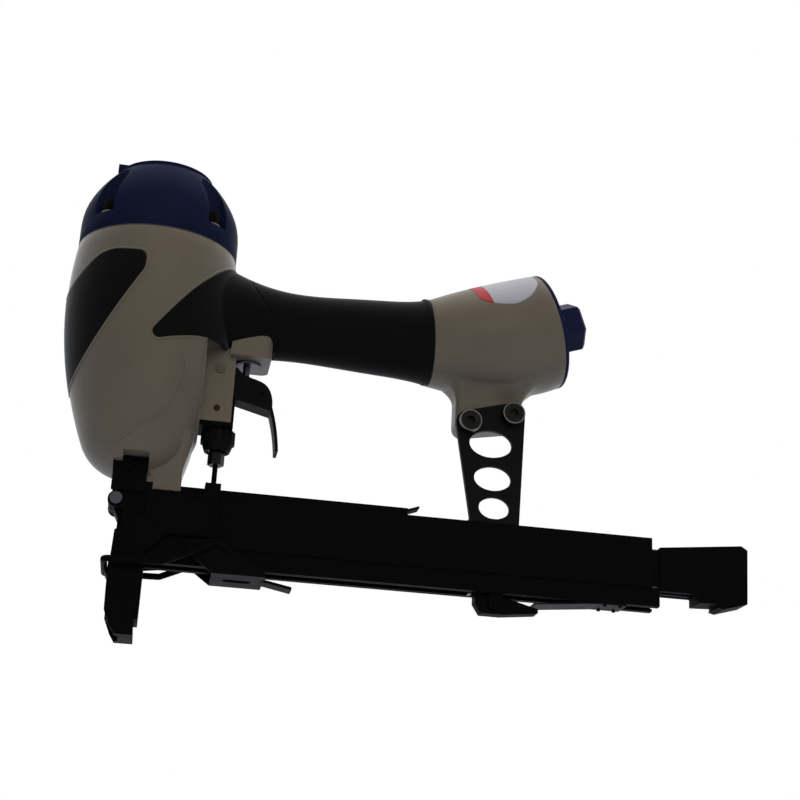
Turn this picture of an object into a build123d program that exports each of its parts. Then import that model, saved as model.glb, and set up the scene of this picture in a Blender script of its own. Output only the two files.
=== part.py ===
from build123d import *
from math import cos, radians, sin, tan
import os

os.makedirs("parts", exist_ok=True)

# Fits shared by all pieces
RUN = 0.05
SEAT = 0.1
GAP = 0.3

# Round barrel of the casting: the drive axis is Z and the work face is Z = 0
SEAT_Z = 198.3
SEAT_IN = 2.0
BELLY_Z = 170.0
BODY_WALL = 6.6
WAIST_Z = 131.0
WAIST_IN = 4.3
TOE_Z = 94.0
TOE_IN = 15.7
FOOT_Z = 80.0
FOOT_R = 11.0
REAR_X = 29.5
REAR_EDGE_R = 5.0

# Cylinder, piston and head valve
BORE_R = 22.0
SLEEVE_T = 3.0
SLEEVE_Z = 93.0
SLEEVE_LEN = 102.8
SLEEVE_SEAT_H = 17.0
AIR_ROOM = 11.0
CAVITY_Z = 158.0
LOWER_AIR_ROOM = 1.4
PISTON_DROP = 23.0
PISTON_H = 20.0
PISTON_FIT = 0.15
STROKE = 63.5
BUMPER_GAP = 0.5
BUMPER_HOLE_R = 9.5
DRIVER_T = 1.6
DRIVER_W = 12.8
DRIVER_TIP_Z = 72.0
DRIVER_ROOT = 8.0
VALVE_LIP = 0.8
VALVE_RIM_H = 3.0
VALVE_H = 9.0
VALVE_STEM_R = 7.0
VALVE_STEM_H = 10.0
RING_T = 2.0
RING_Z = 4.0
PISTON_CUP_R = 12.0
BUMPER_TAPER = 3.0
HEAD_SPRING_R = 18.0
HEAD_SPRING_T = 2.4

# Cylinder cap and exhaust deflector
GASKET_T = 0.8
CAP_WALL_H = 5.0
CAP_IN = 1.4
CAP_MID_H = 20.4
CAP_TOP_IN = 0.8
CAP_SHOULDER = 0.6
CAP_H = 41.9
CAP_ROOF_T = 6.0
CAP_SCREW_IN = 6.1
CAP_SCREW_R = 3.0
CAP_SCREW_LEN = 20.0
CAP_HEAD_R = 5.0
CAP_HEAD_H = 6.0
CAP_SOCKET_R = 2.6
WASHER_R = 5.8
WASHER_T = 1.2
POCKET_H = 8.9
POCKET_R = 6.4
BOSS_R = 5.4
BOSS_H = 30.0
PORT_R = 4.0
PORT_REACH = 13.0
DEFLECTOR_H = 5.8
DEFLECTOR_RIM = 1.6
DEFLECTOR_RISE = 0.6
DEFLECTOR_ROOM = 2.6
DEFLECTOR_WALL = 2.2
HOOD_X = -25.0
HOOD_W = 18.0
HOOD_DROP = 1.0
HOOD_LEN = 13.0
DEFLECTOR_SCREW_R = 3.0
DEFLECTOR_HEAD_R = 5.5
DEFLECTOR_HEAD_H = 3.5

# Handle stations behind the drive axis: X, centre height, half height, half width
ROOT_STATION = (28.0, 171.0, 27.0, 31.0)
NECK_STATION = (42.0, 170.4, 23.2, 21.8)
FORE_STATION = (53.0, 169.6, 20.4, 18.2)
WAIST_STATION = (86.0, 168.4, 18.0, 17.0)
REAR_STATION = (120.0, 168.4, 19.9, 19.0)
GRIP_END_STATION = (147.0, 169.3, 23.8, 23.8)
GRIP_END_X = 144.0
GRIP_END_TILT = 5.0
GRIP_T = 2.4
HANDLE_WALL = 4.0
REAR_WALL = 5.4

# Rear barrel: its axis rises towards the air inlet
RISE = 18.9
RIM_X = 206.7
RIM_Z = 181.8
RIM_R = 30.8
SHOULDER = (166.5, 170.8)
SHOULDER_R = 28.4
SHOULDER_RISE = 13.3
END_BORE_R = 25.0
FLANGE_T = 2.0
PLUG_LEN = 10.0
PLUG_FIT = 0.1
HEX_FLATS = 23.4
HEX_LEN = 18.4
HEX_CHAMFER = 1.6
INLET_R = 5.7

# Rubber pads, as side outlines
PAD_PROUD = 0.5
PAD_DEPTH = 1.6
FRONT_PAD = [(-52.0, 158.0), (-25.6, 185.2), (-4.2, 183.6), (-4.4, 174.5), (-37.0, 118.5)]
FRONT_PAD_R = 5.0
FRONT_PAD_TOP_R = 14.0
NECK_PAD = [(-2.4, 137.4), (20.0, 167.6), (40.2, 191.6), (50.0, 203.0), (70.0, 152.0), (30.5, 147.3)]
NECK_PAD_R = 3.0
SEAM = [(47.5, 200.0), (50.0, 184.0), (54.5, 176.0), (60.0, 168.0), (63.5, 158.0), (64.0, 140.0)]

# Trigger ears and trigger valve
EARS_FRONT = 24.0
EARS_BACK = 45.0
EARS_LOW = 110.4
EARS_TOP = 150.0
EARS_W = 20.0
SLOT_FRONT = 32.0
SLOT_W = 12.6
VALVE_BOSS_FRONT = 42.0
VALVE_BOSS_BACK = 62.6
VALVE_BOSS_LOW = 145.4
VALVE_BOSS_TOP = 157.0
VALVE_BOSS_W = 27.0
VALVE_BOSS_R = 6.5
VALVE_BOSS_EDGE_R = 4.0
VALVE_X = 51.0
VALVE_BODY_R = 6.2
VALVE_BODY_LEN = 13.0
VALVE_FLANGE_R = 7.2
VALVE_FLANGE_T = 1.2
PLUNGER_R = 1.8
PLUNGER_COLLAR_R = 3.2
PLUNGER_COLLAR_T = 2.0
PLUNGER_REST = 0.5
VALVE_STEM_LEN = 3.8
VALVE_WEB_T = 1.6
AIR_HOLE_R = 1.0
VALVE_SPRING_R = 3.0
VALVE_SPRING_T = 0.6
VALVE_CHAMBER_R = 3.6

# Trigger
PIVOT_X = 37.6
PIVOT_Z = 138.5
PIVOT_R = 2.5
PIVOT_EYE_R = 4.6
PIN_PROUD = 0.8
TRIGGER_W = 11.8
TRIGGER_WALL = 1.7
TRIGGER_CROWN = [(46.5, 141.2), (54.3, 136.4), (61.0, 133.8), (65.0, 126.5), (64.9, 119.8)]
TRIGGER_HEEL = (46.5, 124.4)
TRIGGER_TAIL = [(65.2, 122.5), (68.4, 110.6), (70.0, 99.0)]
TRIGGER_TAIL_T = 1.6
TRIGGER_SKIN = 2.0
LEVER_PIN_X = 59.5
LEVER_PIN_Z = 128.6
LEVER_PIN_R = 1.2
LEVER_EYE_R = 2.6
LEVER_FRONT_X = 39.0
LEVER_W = 6.4
LEVER_T = 2.4
LEVER_TOP_Z = 132.0

# Contact trip
TRIP_X = 39.8
ROD_R = 1.3
ROD_TOP_Z = 119.0
NUT_FLATS = 7.4
NUT_Z = 90.0
NUT_H = 6.7
KNOB_R = 8.6
KNOB_Z = 97.8
KNOB_H = 9.6
KNOB_CONE_H = 3.4
KNOB_SKIRT_R = 6.4
KNOB_SKIRT_H = 0.8
TRIP_SPRING_R = 4.4
TRIP_SPRING_T = 1.2
KNOB_BORE_R = 5.2
KNOB_WEB_T = 1.6
KNOB_FLUTES = 14
KNOB_FLUTE_R = 0.7
STUB_R = 2.8
STUB_LEN = 4.4
GUIDE_FRONT = 29.5
GUIDE_T = 2.2
GUIDE_W = 19.0
GUIDE_STRIP_T = 1.2
GUIDE_STRIP_TOP = 122.5
GUIDE_LUG_T = 2.2
GUIDE_LUG_Y = 3.6
GUIDE_LUG_LEN = 7.0
GUIDE_PIN_X = 37.5
GUIDE_PIN_Z = 117.3
GUIDE_PIN_R = 1.5
ARM_Y = 10.9
ARM_T = 1.5
ARM_CORNER_R = 0.8
TONGUE_FRONT = 35.5
TONGUE_Z = 76.0
TONGUE_Y = 4.5
FOOT_FRONT = -0.4
FOOT_BACK = 8.6
FOOT_SIDE_TOP = 32.0
FOOT_NOSE = [(-6.5, 24.0), (-6.1, 11.2), (-2.9, 3.9)]
FOOT_HEEL = [(7.9, 11.5), (9.1, 13.5), (9.1, 26.0)]
ARM_REAR = [(9.6, 40.0), (20.0, 50.0), (43.2, 50.0)]
ARM_FRONT = [(8.2, 71.0), (8.2, 58.0), (-2.5, 58.0), (-2.5, 52.0), (-5.5, 50.0)]
SOLE_T = 1.2
SOLE_WINDOW_X = 1.4
SOLE_WINDOW_W = 14.0

# Foot of the casting as height, half width, back and corner radius, and its saddle over the magazine
FOOT_STATIONS = [
    (0.0, 10.5, 23.7, 1.2),
    (2.4, 10.5, 23.7, 1.2),
    (6.3, 12.0, 23.9, 1.8),
    (12.3, 13.8, 25.2, 3.2),
    (18.3, 16.0, 26.8, 5.2),
    (26.3, 19.4, 28.0, 9.0),
    (32.3, 20.8, 28.4, 13.0),
]
SADDLE_LEN = 13.6
SADDLE_T = 2.0
SADDLE_DROP = 3.2
DRIVER_SLOT_T = 2.4
DRIVER_SLOT_W = 14.0

# Nose
CHANNEL_X = 1.1
CHANNEL_Y = 6.7
NOSE_LOW = 8.0
NOSE_BACK = 10.0
NOSE_FRONT = -3.0
NOSE_W = 21.0
NOSE_BLOCK_TOP = 36.0
NOSE_TOP = 75.6
NOSE_TOP_LOW = 70.0
NOSE_HEAD_FRONT = -7.0
EAR_FRONT = -5.2
EAR_BACK = 7.0
EAR_TOP = 87.0
EAR_STEP_FRONT = -9.5
EAR_STEP_TOP = 84.0
EAR_T = 2.2
HINGE_X = -6.5
HINGE_Z = 65.8
HINGE_R = 2.0
HINGE_EYE_R = 3.8
HINGE_HEAD_R = 3.0
HINGE_HEAD_T = 1.7
DOOR_FRONT = -4.8
DOOR_LOW = 8.6
DOOR_TOP = 61.0
DOOR_W = 12.8
DOOR_LEDGE_X = -8.4
DOOR_LEDGE_Z = 32.6
DOOR_LEDGE_H = 8.0
DOOR_LEDGE_T = 1.2
DOOR_PAD_X = -6.9
DOOR_PAD_H = 3.8
NOSE_SCREW_X = 3.1
NOSE_SCREW_Z = 82.6
NOSE_SCREW_R = 1.8
NOSE_HEAD_R = 2.7
NOSE_HEAD_T = 2.2
NOSE_SCREW_GRIP = 3.2
CHEEK_T = 1.3
CHEEK = [(10.0, 36.0), (24.0, 38.0), (30.0, 39.5), (38.0, 39.5), (43.0, 47.0), (43.0, 71.5), (10.0, 71.5)]
LUG_R = 4.0
STUD_X = 33.2
STUD_Z = 44.0
STUD_R = 2.0
LATCH_EAR_Y = 13.0
LATCH_EAR_T = 1.5
LATCH_EYE_R = 4.0
LATCH_WEB_FRONT = 42.5
LATCH_WEB_BACK = 68.0
LATCH_WEB_Z = 32.4
LATCH_TAIL_X = 82.0
LATCH_TAIL_Z = 29.5
LATCH_TAIL_W = 10.0
LATCH_SLOT_LEN = 14.0
LATCH_SLOT_W = 5.0
BAIL_X = 42.0
BAIL_Z = 46.0
BAIL_R = 1.6
BAIL_KINK_X = 18.0
BAIL_KINK_Z = 35.2
BAIL_BAR_X = -8.8
BAIL_BAR_Z = 34.6
BAIL_Y = 16.6
BAIL_EYE_R = 3.4
BAIL_END_Y = 12.8
BAIL_BEND_R = 2.4

# Magazine
MAG_FRONT = 10.3
MAG_BACK = 264.0
MAG_W = 18.0
MAG_TOP = 71.8
MAG_ROOF_T = 2.3
MAG_STEP_Z = 46.0
MAG_STEP_W = 16.4
MAG_STEP_BACK = 268.0
MAG_LOW = 36.5
MAG_LIP_T = 1.5
MAG_LIP_GAP = 8.0
TOP_RAIL_H = 3.7
TOP_RAIL_BACK = 137.0
TOP_RAIL_W = 16.0
TOP_RAIL_T = 1.4
TAB_X = 143.5
TAB_Z = 78.4
TAB_T = 1.2
TAB_W = 8.0
RAIL_W = 9.2
RAIL_T = 1.2
RAIL_LOW = 45.5
RAIL_H = 21.7
RAIL_FRONT = 1.4
RAIL_BACK = 296.0
END_NECK_X = 289.0
END_SIDE = [
    (268.6, 67.7),
    (312.6, 72.5),
    (316.0, 70.5),
    (315.2, 42.1),
    (302.3, 38.4),
    (299.1, 39.2),
    (300.2, 41.1),
    (289.0, 40.6),
    (289.0, 45.0),
    (268.6, 45.0),
]
END_W = 14.0
END_CORNER_R = 0.5
END_TONGUE_X = 240.0
END_TONGUE_LOW = 48.0
END_TONGUE_TOP = 66.0
END_TONGUE_W = 12.6
RAIL_RIVET_R = 1.6
RAIL_RIVET_X = 278.0
RAIL_RIVET_PITCH = 12.0
RAIL_RIVET_Z = 56.0
PUSHER_FRONT = 2.2
PUSHER_LEN = 24.0
PUSHER_W = 12.6
PUSHER_TOP_T = 1.6
PUSHER_LOW = 40.0
PUSHER_LIP_T = 2.0
DRUM_X = 32.0
DRUM_Z = 55.0
DRUM_R = 3.0
DRUM_ROLL_R = 6.2
DRUM_ARM_T = 0.5
DRUM_ARM_Y = 2.5
PUSHER_LIP_Z = 42.5
PUSHER_FIT = 0.3
RIBBON_FRONT = 5.0
RIBBON_T = 0.4
CATCH_X = 170.6
CATCH_T = 1.6
CATCH_LOW = 36.2
CATCH_NEAR = -2.0
CATCH_FAR = 3.6
CATCH_STRAP = 1.8

# Release latch under the magazine
LATCH_PIN_X = 183.5
LATCH_PIN_Z = 31.8
LATCH_PIN_R = 1.5
LATCH_FRONT = 173.6
LATCH_BACK = 206.0
LATCH_LOW = 26.6
LATCH_W = 7.4
LATCH_CORNER_R = 0.8
LATCH_HOOK_TOP = 38.0
LATCH_HOOK_T = 3.4
LATCH_TOP = 35.6
LATCH_REAR_TOP = 31.0
LATCH_REAR_LOW = 28.6
LATCH_NECK_X = 188.0
LATCH_LUG_T = 2.0
LATCH_LUG_W = 12.4
LATCH_LUG_R = 3.2
LEAF_T = 0.8
LEAF_FRONT = 203.0
LEAF_FRONT_Z = 32.4
LEAF_BEND_X = 236.0
LEAF_RIVET_X = (240.0, 248.0)
LEAF_BACK = 251.0
LEAF_W = 14.0
LEAF_RIVET_R = 0.9
LEAF_RIVET_Y = 5.6

# Bracket between the rear barrel and the magazine
BRACKET_Y = -9.0
BRACKET_T = 3.0
SCREW_A = (166.5, 123.8)
SCREW_B = (189.0, 130.1)
BRACKET_EYE_R = 6.8
BRACKET_FOOT_FRONT = 168.8
BRACKET_FOOT_BACK = 194.0
BRACKET_FOOT_T = 2.0
BRACKET_FOOT_W = 14.0
BRACKET_HOLES = [(178.2, 113.4, 22.4, 14.6), (179.7, 95.1, 19.4, 13.0), (180.9, 79.6, 16.0, 11.6)]
BRACKET_HEAD_R = 5.5
BRACKET_HEAD_T = 4.2
BRACKET_SOCKET_R = 2.5
BRACKET_SCREW_R = 3.0
BRACKET_SCREW_LEN = 14.0
BRACKET_RIVET_R = 1.6
BRACKET_RIVET_X = (174.0, 188.0)
BRACKET_RIVET_Y = 1.0
BOSS_FRONT = 160.0
BOSS_BACK = 195.0
BOSS_LOW_FRONT = 118.5
BOSS_LOW_BACK = 125.0
BOSS_CORNER_R = 5.0
BOSS_EDGE_R = 3.0
BOSS_FLARE_Z = 137.4
BOSS_FAR_Y = 9.0
BOSS_FLARES = [(0.0, 0.0, 0.0, 3.0), (3.6, 1.2, 1.4, 4.2), (7.6, 4.2, 4.8, 7.0), (13.0, 10.0, 9.4, 11.0)]

# Sizes that follow from the ones above
SLEEVE_R = BORE_R + SLEEVE_T
CAVITY_R = SLEEVE_R + AIR_ROOM
LOWER_CAVITY_R = SLEEVE_R + LOWER_AIR_ROOM
BELLY_R = CAVITY_R + BODY_WALL
SEAT_R = BELLY_R - SEAT_IN
WAIST_R = BELLY_R - WAIST_IN
TOE_R = BELLY_R - TOE_IN
VALVE_R = SLEEVE_R + VALVE_LIP
SLEEVE_TOP = SLEEVE_Z + SLEEVE_LEN
PISTON_Z = SLEEVE_TOP - PISTON_DROP
CAP_Z = SEAT_Z + GASKET_T
CAP_MID_R = SEAT_R - CAP_IN
CAP_MID_Z = CAP_Z + CAP_MID_H
CAP_TOP_R = VALVE_R - CAP_TOP_IN
CAP_TOP_Z = CAP_Z + CAP_H
CAP_SCREW_REACH = SEAT_R - CAP_SCREW_IN
POCKET_Z = CAP_Z + POCKET_H
BUMPER_TOP = PISTON_Z - STROKE - BUMPER_GAP
VALVE_Z = SLEEVE_TOP + GAP
VALVE_DISC_Z = VALVE_Z + VALVE_RIM_H
VALVE_TOP = VALVE_DISC_Z + VALVE_H
CAP_ROOF_Z = CAP_TOP_Z - CAP_ROOF_T
CAP_BORE_R = VALVE_R + SEAT
DEFLECTOR_R = CAP_TOP_R - GAP
DEFLECTOR_Z = CAP_TOP_Z + GAP
DEFLECTOR_TOP_Z = DEFLECTOR_Z + DEFLECTOR_H
HOOD_TOP_Z = DEFLECTOR_TOP_Z - HOOD_DROP
DEFLECTOR_HEAD_Z = DEFLECTOR_TOP_Z - DEFLECTOR_HEAD_H - GAP
BOSS_NEAR_Y = BRACKET_Y + BRACKET_T + SEAT
NOSE_Y = NOSE_W / 2
EAR_Y = NOSE_Y + SEAT
STUD_LEN = LATCH_EAR_Y + LATCH_EAR_T + SEAT - NOSE_Y + CHEEK_T
EAR_MID = (EAR_FRONT + EAR_BACK) / 2
HEAD_W = 2 * (BELLY_R + PAD_PROUD)
MAG_ROOF = MAG_TOP - MAG_ROOF_T
RAIL_TOP = RAIL_LOW + RAIL_H
PUSHER_TOP = RAIL_TOP + PUSHER_FIT + PUSHER_TOP_T
TOP_RAIL_TOP = MAG_TOP + SEAT + TOP_RAIL_H
VALVE_LOW = VALVE_BOSS_LOW - VALVE_FLANGE_T - SEAT
VALVE_BODY_TOP = VALVE_BOSS_LOW + VALVE_BODY_LEN
COLLAR_Z = VALVE_BOSS_LOW + VALVE_STEM_LEN
GUIDE_TOP = EARS_LOW - SEAT
STUB_LOW = GUIDE_TOP - GUIDE_T - STUB_LEN
END_PLANE = Plane(
    origin=(RIM_X, 0, RIM_Z),
    x_dir=(0, 1, 0),
    z_dir=(cos(radians(RISE)), 0, sin(radians(RISE))),
)
SHOULDER_PLANE = Plane(
    origin=(SHOULDER[0], 0, SHOULDER[1]),
    x_dir=(0, 1, 0),
    z_dir=(cos(radians(SHOULDER_RISE)), 0, sin(radians(SHOULDER_RISE))),
)


def barrel(grow):
    """Round barrel of the casting with its skin moved out by the given amount."""
    with BuildPart() as form:
        with BuildSketch(Plane.YZ):
            with BuildLine():
                skin = Spline(
                    (SEAT_R + grow, SEAT_Z),
                    (BELLY_R + grow, BELLY_Z),
                    (WAIST_R + grow, WAIST_Z),
                    (TOE_R + grow, TOE_Z),
                )
                sole = TangentArc(skin @ 1, (FOOT_R, FOOT_Z - grow), tangent=skin % 1)
                Polyline(sole @ 1, (0, FOOT_Z - grow), (0, SEAT_Z), skin @ 0)
            make_face()
        revolve(axis=Axis.Z)
    return form.part


def handle(grow):
    """Handle from the barrel to the grip's rear end with its skin moved out by the given amount."""
    stations = [ROOT_STATION, NECK_STATION, FORE_STATION, WAIST_STATION, REAR_STATION, GRIP_END_STATION]
    with BuildPart() as form:
        for x, z, half_height, half_width in stations:
            with BuildSketch(Plane(origin=(x, 0, z), x_dir=(0, 1, 0), z_dir=(1, 0, 0))):
                Ellipse(half_width + grow, half_height + grow)
        loft()
    return form.part


def rear_barrel(grow):
    """Rear barrel that carries the air inlet with its skin moved out by the given amount."""
    x, z, half_height, half_width = GRIP_END_STATION
    with BuildPart() as form:
        with BuildSketch(Plane(origin=(x, 0, z), x_dir=(0, 1, 0), z_dir=(1, 0, 0))):
            Ellipse(half_width + grow, half_height + grow)
        with BuildSketch(SHOULDER_PLANE):
            Circle(SHOULDER_R + grow)
        with BuildSketch(END_PLANE):
            Circle(RIM_R + grow)
        loft()
    return form.part


def plate(points, near, far, radius=0.0):
    """Plate with a straight-run side outline between two Y values, its corners rounded if asked."""
    with BuildPart() as form:
        with BuildSketch(Plane.XZ.offset(-far)) as side:
            with BuildLine():
                Polyline(*points, close=True)
            make_face()
            if radius > 0:
                fillet(side.vertices(), radius)
        extrude(amount=far - near)
    return form.part


def block(x_low, x_high, y_low, y_high, z_low, z_high):
    """Straight block between its six faces."""
    outline = [(x_low, z_low), (x_high, z_low), (x_high, z_high), (x_low, z_high)]
    return plate(outline, y_low, y_high)


def cross_pin(x, z, radius, near, far):
    """Round pin across the tool between two Y values."""
    with BuildPart() as form:
        with BuildSketch(Plane.XZ.offset(-far)):
            with Locations((x, z)):
                Circle(radius)
        extrude(amount=far - near)
    return form.part


def tube(radius, hole, low, high, x=0.0, y=0.0):
    """Upright tube between two heights, a full rod where the hole is nought."""
    with BuildPart() as form:
        with BuildSketch(Plane.XY.offset(low)):
            with Locations((x, y)):
                Circle(radius)
                if hole > 0:
                    Circle(hole, mode=Mode.SUBTRACT)
        extrude(amount=high - low)
    return form.part


def front_pad_form(grow):
    """Front pad's side outline through the whole head, grown for its seat."""
    with BuildPart() as form:
        with BuildSketch(Plane.XZ) as side:
            with BuildLine():
                Polyline(*FRONT_PAD, close=True)
            make_face()
            fillet(side.vertices().sort_by(Axis.Y)[-1:], FRONT_PAD_TOP_R)
            fillet(side.vertices().sort_by(Axis.X)[-2:], FRONT_PAD_R)
            offset(amount=grow)
        extrude(amount=HEAD_W, both=True)
    return form.part


def neck_pad_form(grow):
    """Neck pad's side outline, run on past the seam with the grip and grown for its seat."""
    with BuildPart() as form:
        with BuildSketch(Plane.XZ) as side:
            with BuildLine():
                Polyline(*NECK_PAD, close=True)
            make_face()
            fillet(side.vertices().sort_by(Axis.X)[:1], NECK_PAD_R)
            offset(amount=grow)
        extrude(amount=HEAD_W, both=True)
    return form.part


def grip_end(z, gap=0.0):
    """Point of the grip's leaning rear end at a height, moved back by a gap."""
    return (GRIP_END_X + gap - (z - GRIP_END_STATION[1]) * tan(radians(GRIP_END_TILT)), z)


def grip_form(grow):
    """Side region of the grip sleeve between the seam and its rear end, grown over the seam."""
    with BuildPart() as form:
        with BuildSketch(Plane.XZ):
            with BuildLine():
                seam = Spline(*[(x - grow, z) for x, z in SEAM])
                Polyline(seam @ 0, grip_end(SEAM[0][1]), grip_end(SEAM[-1][1]), seam @ 1)
            make_face()
        extrude(amount=HEAD_W, both=True)
    return form.part


def valve_boss_form(grow):
    """Block under the neck that holds the trigger valve, grown for the rubber around it."""
    half_width = VALVE_BOSS_W / 2 + grow
    with BuildPart() as form:
        with BuildSketch(Plane.XZ.offset(-half_width)) as side:
            with BuildLine():
                Polyline(
                    (VALVE_BOSS_FRONT - grow, VALVE_BOSS_LOW - grow),
                    (VALVE_BOSS_BACK + grow, VALVE_BOSS_LOW - grow),
                    (VALVE_BOSS_BACK + grow, VALVE_BOSS_TOP + grow),
                    (VALVE_BOSS_FRONT - grow, VALVE_BOSS_TOP + grow),
                    close=True,
                )
            make_face()
            fillet(side.vertices().sort_by(Axis.X)[:2].sort_by(Axis.Y)[-1:], VALVE_BOSS_R + grow)
        extrude(amount=2 * half_width)
        fillet(form.edges().filter_by(Axis.Z).group_by(Axis.X)[-1], VALVE_BOSS_EDGE_R + grow)
    return form.part


barrel_skin = barrel(0)
barrel_over = barrel(PAD_PROUD)
barrel_under = barrel(-PAD_DEPTH)
barrel_floor = barrel(-PAD_DEPTH - SEAT)
handle_skin = handle(0)
handle_core = handle(-GRIP_T)
handle_seat = handle(-GRIP_T + SEAT)
handle_hollow = handle(-GRIP_T - HANDLE_WALL)
rear_skin = rear_barrel(0)
rear_hollow = rear_barrel(-REAR_WALL)
front_pad_cut = front_pad_form(SEAT)
front_pad_side = front_pad_form(0)
neck_pad_cut = neck_pad_form(SEAT)
neck_pad_side = neck_pad_form(0)
grip_side = grip_form(0)
grip_room = grip_form(SEAT)
valve_boss = valve_boss_form(0)
valve_boss_room = valve_boss_form(SEAT)
ears = block(EARS_FRONT, EARS_BACK, -EARS_W / 2, EARS_W / 2, EARS_LOW, EARS_TOP)
ears_room = block(
    EARS_FRONT, EARS_BACK + SEAT, -EARS_W / 2 - SEAT, EARS_W / 2 + SEAT, EARS_LOW, EARS_TOP + SEAT
)

# Side outlines of both pads
with BuildPart() as pad_areas:
    add(front_pad_cut)
    add(neck_pad_cut)

# Skin of the casting behind the grip's rear end
with BuildPart() as grip_collar:
    add(handle_skin)
    with BuildSketch(Plane.XZ):
        with BuildLine():
            Polyline(
                grip_end(SEAM[0][1], SEAT),
                (RIM_X, SEAM[0][1]),
                (RIM_X, SEAM[-1][1]),
                grip_end(SEAM[-1][1], SEAT),
                close=True,
            )
        make_face()
    extrude(amount=HEAD_W, both=True, mode=Mode.INTERSECT)

# Bracket boss under the rear barrel, flared into the barrel on all sides
with BuildPart() as bracket_boss:
    with BuildSketch(Plane.XZ.offset(-BOSS_FAR_Y)) as boss_side:
        with BuildLine():
            Polyline(
                (BOSS_FRONT, BOSS_FLARE_Z),
                (BOSS_FRONT, BOSS_LOW_FRONT),
                (BOSS_BACK, BOSS_LOW_BACK),
                (BOSS_BACK, BOSS_FLARE_Z),
                close=True,
            )
        make_face()
        fillet(boss_side.vertices().sort_by(Axis.Y)[:2], BOSS_CORNER_R)
    extrude(amount=BOSS_FAR_Y - BOSS_NEAR_Y)
    fillet(bracket_boss.edges().filter_by(Axis.Z), BOSS_EDGE_R)
    for height, out, wide, corner in BOSS_FLARES:
        with BuildSketch(Plane.XY.offset(BOSS_FLARE_Z + height)):
            with Locations(((BOSS_FRONT + BOSS_BACK) / 2, (BOSS_NEAR_Y + BOSS_FAR_Y) / 2)):
                RectangleRounded(BOSS_BACK - BOSS_FRONT + 2 * out, BOSS_FAR_Y - BOSS_NEAR_Y + 2 * wide, corner)
    loft()

# Recess of the two pads in the skin of the barrel
with BuildPart() as pad_recess:
    add(barrel_over)
    add(barrel_floor, mode=Mode.SUBTRACT)
    add(pad_areas.part, mode=Mode.INTERSECT)

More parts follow.
